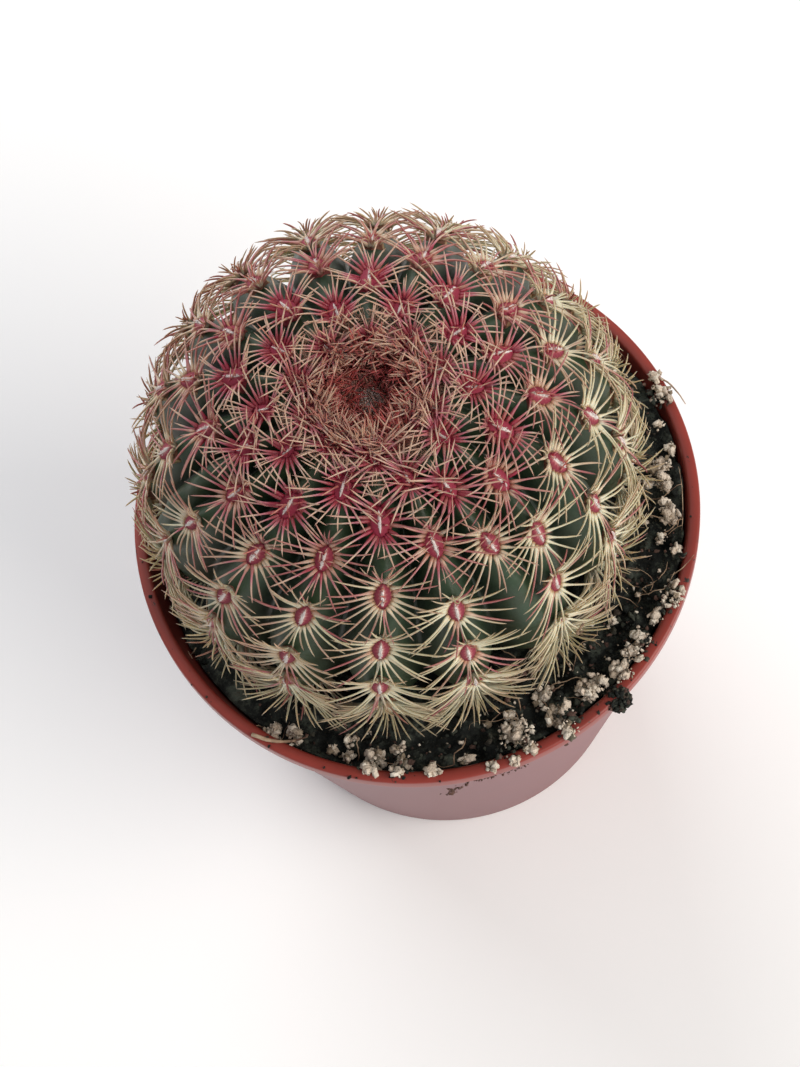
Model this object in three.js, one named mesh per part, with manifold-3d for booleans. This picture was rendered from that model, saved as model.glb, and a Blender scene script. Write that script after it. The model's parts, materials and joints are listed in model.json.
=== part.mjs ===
// Potted round cactus: a ribbed, globe-shaped hedgehog cactus in a small plastic nursery pot.
// Millimetres and degrees, +Z up, front towards -Y. The origin is the middle of the foot, on the ground.
// The plant's own axis runs through the middle of its globe and leans a little towards the front.
import * as THREE from "three";
import { mergeVertices } from "three/addons/utils/BufferGeometryUtils.js";
import Module from "manifold-3d";

const wasm = await Module();
wasm.setup();

// ---------------------------------------------------------------- driving dimensions

const CLEARANCE = 0.35; // air between pieces that touch on the real thing
const ROUND = 48; // sides of a turned piece

const POT = {
  height: 72,
  rimRadius: 42.5,
  footRadius: 30,
  wall: 1.3,
  lipHeight: 2.4,
  lipStep: 0.5, // how far the lip stands out from the wall below it
  edge: 0.4, // rounding of the lip and foot
  footWidth: 4, // width of the standing ring
  footRecess: 1.5, // height of the floor's underside above the ground
  floor: 1.6,
  drainRadius: 3.4,
  drainCircle: 17,
  drainCount: 4, // round the one in the middle
  drainSides: 16,
};

const SOIL = {
  level: 65.6, // surface at the back left, where it lies lowest
  rise: 3.6, // how much higher it is heaped at the front right
  heapDirection: -35, // degrees from +X
  heapSpan: [-0.2, 0.9], // where it rises, in shares of the pot's radius towards the heap
  lump: 0.5, // height of its crumbs
  rings: [22, 26, 29.5, 33, 36, 38.4], // radii of the surface's rings, before the wall
  holeFrom: 95, // polar angle of the stem, over the soil, from which its hole is cut
};

const GRIT = {
  draws: 52,
  smallest: 1,
  largest: 2.1,
  widths: [0.8, 1.25], // proportions of a grain
  heights: [0.7, 1],
  front: [-150, 60], // degrees from +X of the front and right side, where most grains lie
  back: [60, 210],
  frontShare: 0.75,
  innermost: 0.7, // share of the way out to the wall where the nearest grains lie
  stemGap: 1.2, // least distance of a grain from the stem
  stemGirth: 1.3, // half a grain's width in its sizes, kept free beside the stem as well
  wallGap: 0.8, // least distance from the pot's wall
  belowLip: 0.6,
  sunk: 0.55, // share of the radius below the soil
};

const STEM = {
  centre: new THREE.Vector3(-2.5, 1.75, 86.8), // middle of the globe
  lean: 5.3, // degrees towards the front
  radius: 34.6, // over the crests of the ribs
  halfHeight: 33.4,
  crownDepth: 5, // how far the growing point is sunk
  crownSpread: 11, // degrees from the axis
  furrow: 5.2, // depth of the furrows at the waist
  furrowOpens: [5, 42], // polar angles between which the furrows deepen
  furrowCloses: [95, 128], // and between which they grow shallow again
  furrowLoss: 0.6, // share of the depth that is lost there
  areoleBulge: 0.45, // swelling of a rib under each areole
  bulgeStarts: [18, 30], // polar angles between which the swellings grow
  bulgeEnds: [105, 118], // and between which they fade
};

// Buried end of the stem and the root neck: radius and height from the globe's middle.
const ROOT = [
  [21, -26],
  [14, -30.5],
  [9, -35],
  [7, -43],
  [3.5, -47],
];
const ROOT_END = -48; // height of its tip

// Direction of each rib's crest in degrees, from the front and turning right: at the crown and at the soil.
// Ribs 2 and 3, and ribs 16 and 17, run together on the way down.
const RIB_AT_CROWN = [
  [-8, 11, 27, 47, 64, 82, 98, 115, 133, 150],
  [169, 189, 209, 229, 246, 260, 275, 292, 311, 332],
].flat();
const RIB_AT_SOIL = [
  [-13, 9, 29, 34, 56, 77, 97, 115, 132, 152],
  [169, 187, 207, 224, 244, 263, 276, 281, 303, 324],
].flat();
const RIBS = RIB_AT_CROWN.length;
const RIB_TURNS = [25, 85]; // polar angles between which a rib turns to its lower direction
const RIB_COLUMNS = 4; // columns of the surface from one crest to the next
const MERGED_WIDTH = 5; // two crests this many degrees apart have no furrow between them
const FULL_WIDTH = 15; // from this width on, the furrow has its full depth
const LAST_AREOLE = { 2: 48, 16: 31 }; // polar angle of the last areole on a rib that joins its neighbour

const AREOLE = {
  first: 22.8, // polar angle of the first full areole on every other rib
  pitch: 16.3, // degrees from one areole to the next, about 10 mm
  last: 113,
  halfWidth: 1.2,
  halfHeight: 1.95,
  columnShare: 0.8, // most of a column's width that half a pad takes on a narrow rib
  thick: 0.5, // height of the pad's edge over the crest
  peak: 0.75, // height of its middle
  spineBase: 0.6, // thickness of the spines at the edge
};

// Radial spines of one areole: angle from the way to the crown, and the tip's distance from the middle
// of the areole and its height over it. Each is there to the left and to the right.
const RADIALS = [
  { turn: 26, reach: 7.4, height: 2.8 },
  { turn: 60, reach: 8.4, height: 2.2 },
  { turn: 90, reach: 9.0, height: 1.4 },
  { turn: 120, reach: 9.0, height: 1.2 },
  { turn: 154, reach: 7.8, height: 0.8 },
];
const SPINE = {
  longest: 9.5,
  shortest: 0.5, // share of its length that a spine keeps where it meets others
  drawnIn: 0.08, // share by which it is shortened in one step
  lifted: 0.4, // how far its tip is raised in one step
  liftedMost: 2,
  layer: 0.9, // spines of every other rib lie this much lower, so that neighbours pass each other
  upright: 3, // extra height of the tips beside the crown
  youngShorter: 0.2, // share by which spines are shorter beside the crown
  youngUntil: 45, // polar angle from which they have their full length
  room: 0.36, // half a spine's thickness at its foot, over which another has to pass
  air: 0.06,
  floor: 72.4, // no tip hangs lower than this over the soil
};

const CROWN = {
  areolePolar: 14, // no areole opens nearer to the axis
  spines: 34,
  reach: 13, // polar angle out to which the young spines crowd
  turn: 137.5, // degrees from one spine to the next, as leaves follow each other
  length: 6.5,
  lengths: [0.8, 1.1], // shares of the length
  thickness: 0.42,
  sunk: 1.4, // how far a spine starts below the skin
  inward: 0.5, // how much a spine leans over the middle
  astray: 0.35, // how much it leans at random
};

// ---------------------------------------------------------------- helpers

const radians = THREE.MathUtils.degToRad;
const mix = THREE.MathUtils.lerp;
const ramp = (x, from, to) => THREE.MathUtils.smoothstep(x, from, to);

// A repeatable random draw between two values.
function dice(seed) {
  let state = seed;
  return (low = 0, high = 1) => {
    state = (Math.imul(state, 1664525) + 1013904223) >>> 0;
    return low + ((high - low) * state) / 4294967296;
  };
}

// A closed geometry as a solid that can be joined and cut.
function solid(geometry) {
  const bare = geometry.clone();
  bare.deleteAttribute("normal");
  bare.deleteAttribute("uv");
  const merged = mergeVertices(bare, 1e-4);
  return new wasm.Manifold(
    new wasm.Mesh({
      numProp: 3,
      vertProperties: merged.attributes.position.array,
      triVerts: new Uint32Array(merged.index.array),
    }),
  );
}

// The solid back as a geometry with flat shading.
function geometryOf(manifold) {
  const mesh = manifold.getMesh();
  const indexed = new THREE.BufferGeometry();
  indexed.setAttribute("position", new THREE.BufferAttribute(mesh.vertProperties, 3));
  indexed.setIndex(new THREE.BufferAttribute(mesh.triVerts, 1));
  const flat = indexed.toNonIndexed();
  flat.computeVertexNormals();
  return flat;
}

// A turned piece from [radius, height] pairs that run from the bottom to the top of its outside.
function turned(profile) {
  const outline = profile.map(([r, z]) => new THREE.Vector2(r, z));
  return new THREE.LatheGeometry(outline, ROUND).rotateX(Math.PI / 2);
}

// ---------------------------------------------------------------- pot

function potWallRadius(z) {
  return mix(POT.footRadius, POT.rimRadius - POT.lipStep, z / POT.height);
}

function potGeometry() {
  const { height, rimRadius, footRadius, wall, lipHeight, edge, footWidth, footRecess, floor } = POT;
  const inside = (z) => potWallRadius(z) - wall;
  const shell = turned([
    [0, footRecess],
    [footRadius - footWidth - footRecess, footRecess],
    [footRadius - footWidth, 0],
    [footRadius - edge, 0],
    [footRadius, edge],
    [potWallRadius(height - lipHeight - edge), height - lipHeight - edge],
    [rimRadius, height - lipHeight],
    [rimRadius, height - edge],
    [rimRadius - edge, height],
    [inside(height) + edge, height],
    [inside(height - edge), height - edge],
    [inside(footRecess + floor + 2 * edge), footRecess + floor + 2 * edge],
    [inside(footRecess + floor) - 2 * edge, footRecess + floor],
    [0, footRecess + floor],
  ]);
  const { drainRadius, drainCircle, drainCount, drainSides } = POT;
  const drain = new THREE.CylinderGeometry(drainRadius, drainRadius, 4 * floor, drainSides);
  drain.rotateX(Math.PI / 2).translate(0, 0, footRecess);
  let pot = solid(shell).subtract(solid(drain));
  for (let i = 0; i < drainCount; i++) {
    const turn = (2 * Math.PI * i) / drainCount;
    const hole = drain.clone().translate(drainCircle * Math.cos(turn), drainCircle * Math.sin(turn), 0);
    pot = pot.subtract(solid(hole));
  }
  return geometryOf(pot);
}

// ---------------------------------------------------------------- stem

const stemFrame = new THREE.Matrix4()
  .makeRotationX(radians(STEM.lean))
  .setPosition(STEM.centre);

function crestTurn(rib, polar) {
  const lap = Math.floor(rib / RIBS);
  const k = rib - lap * RIBS;
  return 360 * lap + mix(RIB_AT_CROWN[k], RIB_AT_SOIL[k], ramp(polar, ...RIB_TURNS));
}

// Depth of the furrow between a rib and the next one.
function furrowDepth(rib, polar) {
  const width = crestTurn(rib + 1, polar) - crestTurn(rib, polar);
  const open = THREE.MathUtils.clamp((width - MERGED_WIDTH) / (FULL_WIDTH - MERGED_WIDTH), 0, 1);
  const kept = 1 - STEM.furrowLoss * ramp(polar, ...STEM.furrowCloses);
  return STEM.furrow * open * ramp(polar, ...STEM.furrowOpens) * kept;
}

// How far the growing point has drawn the surface in.
function crownDip(polar) {
  return STEM.crownDepth * Math.exp(-((polar / STEM.crownSpread) ** 2));
}

function areoleStart(rib) {
  return AREOLE.first + (rib % 2 === 0 ? AREOLE.pitch / 2 : 0);
}

// A point of the stem. across runs from 0 on the rib's crest to 1 on the next rib's.
function stemPoint(rib, across, polar) {
  const turn = radians(mix(crestTurn(rib, polar), crestTurn(rib + 1, polar), across));
  const dip = furrowDepth(rib, polar) * (1 - Math.abs(Math.cos(Math.PI * across)));
  const swell = (k) => Math.cos((2 * Math.PI * (polar - areoleStart(k))) / AREOLE.pitch);
  const bulge = STEM.areoleBulge * ramp(polar, ...STEM.bulgeStarts) * (1 - ramp(polar, ...STEM.bulgeEnds));
  const here = swell(rib) * Math.max(0, 1 - 2 * across);
  const next = swell(rib + 1) * Math.max(0, 2 * across - 1);
  const relief = bulge * (here + next);
  const p = radians(polar);
  const out = STEM.radius - dip + relief;
  const up = STEM.halfHeight - dip + relief;
  return new THREE.Vector3(
    out * Math.sin(p) * Math.sin(turn),
    -out * Math.sin(p) * Math.cos(turn),
    up * Math.cos(p) - crownDip(polar),
  );
}

// Rows of the stem's surface, two for each areole, from the crown down to where the soil covers it.
function stemRows() {
  const rows = [];
  const step = AREOLE.pitch / 2;
  for (let polar = AREOLE.first - AREOLE.pitch; polar < AREOLE.last + step; polar += step) rows.push(polar);
  return rows;
}

// The frame of an areole: sideways, towards the crown and outwards, at its place on the crest.
function areoleFrame(rib, polar) {
  const up = stemPoint(rib, 0, polar - 1).sub(stemPoint(rib, 0, polar + 1)).normalize();
  const turn = radians(crestTurn(rib, polar));
  const side = new THREE.Vector3(Math.cos(turn), Math.sin(turn), 0);
  const out = new THREE.Vector3().crossVectors(side, up).normalize();
  return new THREE.Matrix4().makeBasis(side, up, out).setPosition(stemPoint(rib, 0, polar));
}

// Every areole of the plant, from the crown down: its rib, its row of the surface, and its size.
function areoles() {
  const rows = stemRows();
  const list = [];
  rows.forEach((polar, row) => {
    for (let rib = 0; rib < RIBS; rib++) {
      const steps = (polar - areoleStart(rib)) / AREOLE.pitch;
      const bears = Math.abs(steps - Math.round(steps)) < 0.01 && polar > CROWN.areolePolar - 1;
      if (bears && polar <= (LAST_AREOLE[rib] ?? AREOLE.last)) list.push({ rib, row, polar });
    }
  });
  return list;
}

// Whether a spine passes every spine of the other areoles. Each is thickest at its foot.
function passes(spine, spines) {
  const near = [new THREE.Vector3(), new THREE.Vector3()];
  const girth = (line, spot) => 1 - line.start.distanceTo(spot) / line.distance();
  return spines.every((other) => {
    if (other.areole === spine.areole || other.foot.distanceTo(spine.foot) > 2 * SPINE.longest) return true;
    const gap = Math.sqrt(spine.line.distanceSqToLine3(other.line, ...near));
    const room = SPINE.room * (girth(spine.line, near[0]) + girth(other.line, near[1]));
    return gap > room + SPINE.air;
  });
}

// The spine at a given angle of an areole. It is lifted over the spines that it meets, or else drawn in.
function radialSpine(areole, frame, radial, corner, spines) {
  const { polar, rib } = areole;
  const turn = radians(radial.turn);
  const young = 1 - ramp(polar, CROWN.areolePolar, SPINE.youngUntil);
  const lower = rib % 2 === 0 ? 0 : SPINE.layer;
  const start = new THREE.Vector3(...corner, AREOLE.thick - AREOLE.spineBase / 2).applyMatrix4(frame);
  const foot = new THREE.Vector3().setFromMatrixPosition(frame);
  for (let share = 1; ; share -= SPINE.drawnIn) {
    for (let lift = 0; lift < SPINE.liftedMost; lift += SPINE.lifted) {
      const reach = share * radial.reach * (1 - SPINE.youngShorter * young);
      const height = share * (radial.height - lower + SPINE.upright * young) + lift;
      const tip = new THREE.Vector3(radial.side * Math.sin(turn) * reach, Math.cos(turn) * reach, height);
      tip.applyMatrix4(frame);
      const spine = { areole, foot, line: new THREE.Line3(start, tip) };
      const clearOfSoil = tip.clone().applyMatrix4(stemFrame).z > SPINE.floor;
      if (share < SPINE.shortest || (clearOfSoil && passes(spine, spines))) return spine;
    }
  }
}

// Closes the band between two rings of numbered spots, both in order of their angles.
function band(outer, inner, faces) {
  const spotAt = (ring, i) => ring[i % ring.length].spot;
  const angleAt = (ring, i) => ring[i % ring.length].angle + (i >= ring.length ? 2 * Math.PI : 0);
  let [i, j] = [0, 0];
  while (i < outer.length || j < inner.length) {
    const sooner = i < outer.length && angleAt(outer, i + 1) < angleAt(inner, j + 1);
    const stepOut = j >= inner.length || sooner;
    faces.push(spotAt(inner, j), spotAt(outer, i), stepOut ? spotAt(outer, i + 1) : spotAt(inner, j + 1));
    if (stepOut) i++;
    else j++;
  }
}

// One areole: an almond pad raised from the crest, with its ring of spines drawn out of the pad's edge.
function growAreole(areole, ringSpots, spots, faces, spines) {
  const frame = areoleFrame(areole.rib, areole.polar);
  const flatten = frame.clone().invert();
  const angleOf = (spot) => {
    const flat = spots[spot].clone().applyMatrix4(flatten);
    return (Math.atan2(flat.y, flat.x) + 2 * Math.PI - 1e-6) % (2 * Math.PI);
  };
  const inOrder = (ring) => {
    const marked = ring.map((spot) => ({ spot, angle: angleOf(spot) }));
    return marked.sort((a, b) => a.angle - b.angle);
  };
  const columnWidth = spots[ringSpots[0]].distanceTo(spots[ringSpots[4]]) / 2;
  const halfWidth = Math.min(AREOLE.halfWidth, AREOLE.columnShare * columnWidth);
  const halfHeight = (AREOLE.halfHeight * halfWidth) / AREOLE.halfWidth;
  const bearing = ({ side, turn }) => (360 + 90 - side * turn) % 360; // degrees from the frame's sideways axis
  const radials = [1, -1].flatMap((side) => RADIALS.map((radial) => ({ ...radial, side })));
  radials.sort((a, b) => bearing(a) - bearing(b));
  const count = radials.length;
  const corner = (i) => {
    const before = bearing(radials[(i + count - 1) % count]) - (i === 0 ? 360 : 0);
    const angle = radians((before + bearing(radials[i])) / 2);
    return [halfWidth * Math.cos(angle), halfHeight * Math.sin(angle)];
  };
  const add = (vector) => spots.push(vector) - 1;
  const place = ([x, y], z) => add(new THREE.Vector3(x, y, z).applyMatrix4(frame));
  const middle = place([0, 0], AREOLE.peak);
  const high = radials.map((_, i) => place(corner(i), AREOLE.thick));
  const low = radials.map((_, i) => place(corner(i), AREOLE.thick - AREOLE.spineBase));
  band(inOrder(ringSpots), inOrder(low), faces);
  radials.forEach((radial, i) => {
    const next = (i + 1) % count;
    const angle = radians(bearing(radial));
    const edge = [halfWidth * Math.cos(angle), halfHeight * Math.sin(angle)];
    const spine = radialSpine(areole, frame, radial, edge, spines);
    spines.push(spine);
    const tip = add(spine.line.end);
    faces.push(middle, high[i], high[next], high[i], tip, high[next], low[i], low[next], tip);
    faces.push(low[i], tip, high[i], low[next], high[next], tip);
  });
}

// A point of the buried end and the root neck, in line with the ribs above.
function rootPoint(rib, across, [r, z]) {
  const turn = radians(mix(crestTurn(rib, AREOLE.last), crestTurn(rib + 1, AREOLE.last), across));
  return new THREE.Vector3(r * Math.sin(turn), -r * Math.cos(turn), z);
}

// The plant's skin as one closed surface: ribs and furrows, areoles and spines, down to the root's end.
function plantGeometry() {
  const rows = stemRows();
  const columns = RIB_COLUMNS * RIBS;
  const levels = rows.length + ROOT.length;
  const spots = [new THREE.Vector3(0, 0, STEM.halfHeight - STEM.crownDepth)];
  for (let level = 0; level < levels; level++) {
    for (let column = 0; column < columns; column++) {
      const rib = Math.floor(column / RIB_COLUMNS);
      const across = (column % RIB_COLUMNS) / RIB_COLUMNS;
      const buried = ROOT[level - rows.length];
      spots.push(buried ? rootPoint(rib, across, buried) : stemPoint(rib, across, rows[level]));
    }
  }
  const rootEnd = spots.push(new THREE.Vector3(0, 0, ROOT_END)) - 1;
  const at = (column, level) => 1 + level * columns + ((column + columns) % columns);
  const faces = [];
  const bearing = areoles();
  const taken = new Set(bearing.flatMap(({ rib, row }) => {
    const column = RIB_COLUMNS * rib;
    return [at(column, row - 1), at(column - 1, row - 1), at(column, row), at(column - 1, row)];
  }));
  for (let column = 0; column < columns; column++) {
    faces.push(0, at(column, 0), at(column + 1, 0));
    faces.push(rootEnd, at(column + 1, levels - 1), at(column, levels - 1));
    for (let level = 0; level < levels - 1; level++) {
      if (taken.has(at(column, level))) continue;
      const [a, b] = [at(column, level), at(column + 1, level)];
      const [c, d] = [at(column, level + 1), at(column + 1, level + 1)];
      faces.push(a, c, d, a, d, b);
    }
  }
  const spines = [];
  for (const areole of bearing) {
    const [c, r] = [RIB_COLUMNS * areole.rib, areole.row];
    const ring = [at(c + 1, r), at(c + 1, r - 1), at(c, r - 1), at(c - 1, r - 1)];
    ring.push(at(c - 1, r), at(c - 1, r + 1), at(c, r + 1), at(c + 1, r + 1));
    growAreole(areole, ring, spots, faces, spines);
  }
  const skin = new THREE.BufferGeometry().setFromPoints(spots);
  skin.setIndex(faces);
  return skin;
}

// A three-sided young spine of the crown, from under the skin to its tip.
function crownSpine(index, draw) {
  const polar = CROWN.reach * Math.sqrt((index + 0.5) / CROWN.spines);
  const turn = radians(index * CROWN.turn);
  const p = radians(polar);
  const foot = new THREE.Vector3(
    STEM.radius * Math.sin(p) * Math.sin(turn),
    -STEM.radius * Math.sin(p) * Math.cos(turn),
    STEM.halfHeight * Math.cos(p) - crownDip(polar),
  );
  const astray = () => draw(-CROWN.astray, CROWN.astray);
  const lean = new THREE.Vector3(astray(), astray(), 1);
  lean.x -= (CROWN.inward * foot.x) / CROWN.length;
  lean.y -= (CROWN.inward * foot.y) / CROWN.length;
  lean.normalize();
  const length = CROWN.length * draw(...CROWN.lengths);
  const cone = new THREE.ConeGeometry(CROWN.thickness, length + CROWN.sunk, 3);
  cone.translate(0, (length - CROWN.sunk) / 2, 0);
  cone.applyQuaternion(new THREE.Quaternion().setFromUnitVectors(new THREE.Vector3(0, 1, 0), lean));
  return cone.translate(foot.x, foot.y, foot.z);
}

function cactusGeometry() {
  let plant = solid(plantGeometry());
  const draw = dice(7);
  for (let i = 0; i < CROWN.spines; i++) plant = plant.add(solid(crownSpine(i, draw)));
  return geometryOf(plant);
}

// ---------------------------------------------------------------- soil

function soilHeight(x, y) {
  const heap = radians(SOIL.heapDirection);
  const towards = (x * Math.cos(heap) + y * Math.sin(heap)) / POT.rimRadius;
  const crumbs = Math.sin(0.9 * x + 1.3) * Math.cos(0.75 * y) + 0.6 * Math.sin(1.7 * y + 0.8 * x);
  return SOIL.level + SOIL.rise * ramp(towards, ...SOIL.heapSpan) + SOIL.lump * crumbs;
}

// The fill: turned to the inside of the pot, with its top face heaped by the formula above.
function fillGeometry() {
  const bottom = POT.footRecess + POT.floor + CLEARANCE;
  const inside = (z) => potWallRadius(z) - POT.wall - CLEARANCE;
  const rings = [inside(SOIL.level), ...SOIL.rings.toReversed(), 0];
  const profile = [[0, bottom], [inside(bottom) - 1, bottom], [inside(bottom + 1), bottom + 1]];
  const fill = turned([...profile, ...rings.map((r) => [r, SOIL.level])]);
  const spots = fill.attributes.position;
  for (let i = 0; i < spots.count; i++) {
    if (spots.getZ(i) < SOIL.level - 1e-3) continue;
    const [x, y] = [spots.getX(i), spots.getY(i)];
    const z = soilHeight(x, y);
    const grow = Math.hypot(x, y) > SOIL.rings.at(-1) + 0.1 ? inside(z) / inside(SOIL.level) : 1;
    spots.setXYZ(i, x * grow, y * grow, z);
  }
  return fill;
}

// The plain hole that the foot of the stem stands in: the outline over its crests, a little larger.
function stemHole() {
  const low = stemRows().filter((polar) => polar > SOIL.holeFrom);
  const skin = low.map((polar) => {
    const { x, y, z } = stemPoint(0, 0, polar);
    return [Math.hypot(x, y) + 1.5 * CLEARANCE, z];
  });
  const root = ROOT.map(([r, z]) => [r + 1.5 * CLEARANCE, z - CLEARANCE]);
  const outline = [[0, skin[0][1]], ...skin, ...root, [0, ROOT_END - 2 * CLEARANCE]];
  return turned(outline.reverse()).applyMatrix4(stemFrame);
}

// A grain of pumice, a lump with few faces and random proportions, or nothing where it would meet the stem.
function gritGrain(draw) {
  const size = mix(GRIT.smallest, GRIT.largest, draw() ** 2);
  const turn = radians(draw() < GRIT.frontShare ? draw(...GRIT.front) : draw(...GRIT.back));
  const wall = potWallRadius(SOIL.level) - POT.wall - CLEARANCE - GRIT.wallGap - size;
  const away = draw(GRIT.innermost, 1) * wall;
  const grain = new THREE.IcosahedronGeometry(size, 0);
  grain.scale(draw(...GRIT.widths), draw(...GRIT.widths), draw(...GRIT.heights));
  grain.rotateZ(draw(0, 6)).rotateX(draw(-0.5, 0.5));
  const [x, y] = [away * Math.cos(turn), away * Math.sin(turn)];
  const stem = new THREE.Vector3(0, 0, SOIL.level - STEM.centre.z).applyMatrix4(stemFrame);
  const stemRadius = STEM.radius * Math.sqrt(1 - ((stem.z - STEM.centre.z) / STEM.halfHeight) ** 2);
  const kept = stemRadius + GRIT.stemGirth * size + GRIT.stemGap;
  if (Math.hypot(x - stem.x, y - stem.y) < kept) return null;
  const z = Math.min(soilHeight(x, y) + size * (1 - 2 * GRIT.sunk), POT.height - GRIT.belowLip - size);
  return grain.translate(x, y, z);
}

function soilGeometry() {
  let soil = solid(fillGeometry());
  const draw = dice(23);
  for (let i = 0; i < GRIT.draws; i++) {
    const grain = gritGrain(draw);
    if (grain) soil = soil.add(solid(grain));
  }
  return geometryOf(soil.subtract(solid(stemHole())));
}

// ---------------------------------------------------------------- the object

function piece(name, geometry, color, roughness) {
  const material = new THREE.MeshStandardMaterial({ color, roughness, metalness: 0 });
  const mesh = new THREE.Mesh(geometry, material);
  mesh.name = name;
  return mesh;
}

const pot = piece("pot", potGeometry(), 0x8f4f49, 0.5);
const soil = piece("soil", soilGeometry(), 0x2a2422, 0.95);
const cactus = piece("cactus", cactusGeometry(), 0x4a5a42, 0.6);
cactus.applyMatrix4(stemFrame);

const pottedCactus = new THREE.Group();
pottedCactus.add(pot, soil, cactus);
export default pottedCactus;
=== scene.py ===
"""Potted round cactus: a ribbed globe with combed spines in a small terracotta-coloured nursery pot.

Dresses the packed frame. Metres and degrees, +Z up, the front towards -Y, the pot's foot on z = 0.
"""

import json
import math

import bmesh
import bpy
import numpy as np
from bpy.props import FloatProperty, FloatVectorProperty, IntProperty, PointerProperty
from mathutils import Matrix, Vector, noise

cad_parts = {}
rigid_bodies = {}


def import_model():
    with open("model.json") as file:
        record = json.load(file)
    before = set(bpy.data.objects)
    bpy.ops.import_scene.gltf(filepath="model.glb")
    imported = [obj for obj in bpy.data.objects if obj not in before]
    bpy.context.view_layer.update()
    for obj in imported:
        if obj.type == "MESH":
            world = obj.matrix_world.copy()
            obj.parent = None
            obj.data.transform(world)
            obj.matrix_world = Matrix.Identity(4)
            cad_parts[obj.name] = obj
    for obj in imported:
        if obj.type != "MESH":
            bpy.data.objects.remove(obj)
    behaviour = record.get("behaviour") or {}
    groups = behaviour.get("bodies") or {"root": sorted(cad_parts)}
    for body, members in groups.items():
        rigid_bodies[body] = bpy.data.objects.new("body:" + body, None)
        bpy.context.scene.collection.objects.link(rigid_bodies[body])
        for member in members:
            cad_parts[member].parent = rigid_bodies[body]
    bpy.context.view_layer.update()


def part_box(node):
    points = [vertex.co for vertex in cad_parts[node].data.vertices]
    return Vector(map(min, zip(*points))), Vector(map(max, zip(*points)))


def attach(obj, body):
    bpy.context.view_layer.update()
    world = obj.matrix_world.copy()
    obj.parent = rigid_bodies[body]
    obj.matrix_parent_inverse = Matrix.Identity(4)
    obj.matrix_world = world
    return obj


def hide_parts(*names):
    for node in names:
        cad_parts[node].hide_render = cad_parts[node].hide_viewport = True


bl_info = {
    "name": "Potted round cactus",
    "version": (1, 0, 0),
    "blender": (4, 5, 0),
    "location": "3D View > Sidebar > Cactus",
    "description": "Builds a round cactus with combed spines in a nursery pot",
    "category": "Add Mesh",
}

for leftover in list(bpy.data.objects):
    bpy.data.objects.remove(leftover)

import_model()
POT_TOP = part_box("pot")[1]

MM = 0.001

# ---------------------------------------------------------------- helpers


def linear(colour):
    """An sRGB hex colour as linear red, green and blue."""
    parts = [int(colour[i : i + 2], 16) / 255 for i in (1, 3, 5)]
    return tuple(p / 12.92 if p <= 0.04045 else ((p + 0.055) / 1.055) ** 2.4 for p in parts)


def rgba(colour, factor=1):
    """A hex colour, or one that a user may change, made lighter by a factor and opaque."""
    return (*(factor * part for part in (linear(colour) if isinstance(colour, str) else colour)), 1)


def number(name, description, value, kind=FloatProperty, **limits):
    """A number that a user may change."""
    return kind(name=name, description=description, default=value, **limits)


def length(name, description, millimetres):
    """A length that a user may change."""
    return number(name, description, millimetres * MM, subtype="DISTANCE", unit="LENGTH")


def colour(name, description, value):
    """A colour that a user may change."""
    limits = {"subtype": "COLOR", "size": 3, "min": 0, "max": 1}
    return number(name, description, linear(value), FloatVectorProperty, **limits)


def mix(a, b, share):
    return a + (b - a) * share


def ramp(x, low, high):
    """0 below low, 1 above high, and a smooth step between them."""
    t = np.clip((x - low) / (high - low), 0, 1)
    return t * t * (3 - 2 * t)


def unit(vectors):
    return vectors / np.linalg.norm(vectors, axis=-1, keepdims=True)


def from_right(away, turn, height):
    """Spots from their distance to the z axis, direction in radians from +X, and height."""
    return np.stack(np.broadcast_arrays(away * np.cos(turn), away * np.sin(turn), height), axis=-1)


def from_front(away, turn, height):
    """Spots from their distance to the z axis, direction in radians from the front, and height."""
    return np.stack(np.broadcast_arrays(away * np.sin(turn), -away * np.cos(turn), height), axis=-1)


def mesh_piece(name, spots, faces, material, replaces, marks=None, uv=None):
    """A piece of the object from its spots and faces. marks are numbers kept for each spot, by name."""
    mesh = bpy.data.meshes.new(name)
    mesh.from_pydata(spots.reshape(-1, 3).tolist(), [], [face for group in faces for face in group.tolist()])
    for mark, values in (marks or {}).items():
        mesh.attributes.new(mark, "FLOAT", "POINT").data.foreach_set("value", values.ravel())
    if uv is not None:
        mesh.uv_layers.new(name="OFBake").data.foreach_set("uv", uv.ravel())
    mesh.polygons.foreach_set("use_smooth", [True] * len(mesh.polygons))
    mesh.materials.append(material)
    piece = bpy.data.objects.new(name, mesh)
    bpy.context.scene.collection.objects.link(piece)
    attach(piece, "root")
    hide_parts(replaces)
    return piece


def tube_faces(rings, sides, count=1):
    """Faces of closed tubes, each a stack of rings of spots: the walls, then the first and the last ends."""
    ring, side = np.meshgrid(np.arange(rings - 1), np.arange(sides), indexing="ij")
    here = (ring * sides + side).ravel()
    beside = (ring * sides + (side + 1) % sides).ravel()
    wall = np.stack([here, here + sides, beside + sides, beside], axis=1)
    start = np.arange(count)[:, None] * rings * sides
    rim = np.arange(sides) + start
    return [(wall + start[..., None]).reshape(-1, 4), rim, rim[:, ::-1] + (rings - 1) * sides]


def turned_over(faces):
    """The same faces, seen from their other side."""
    return [group[:, ::-1] for group in faces]


def tubes(paths, radii, sides):
    """Round tapered tubes along many centre lines at once: their spots and faces, ends closed."""
    along = unit(np.gradient(paths, axis=1))
    mean = along.mean(axis=1, keepdims=True)
    reference = np.where(np.abs(mean[..., 2:]) < 0.8, [0.0, 0.0, 1.0], [1.0, 0.0, 0.0])
    across = unit(np.cross(along, reference))
    other = np.cross(across, along)
    angle = 2 * np.pi * np.arange(sides)[:, None] / sides
    ring = across[:, :, None] * np.cos(angle) + other[:, :, None] * np.sin(angle)
    return paths[:, :, None] + radii[:, :, None, None] * ring, tube_faces(paths.shape[1], sides, len(paths))


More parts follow.
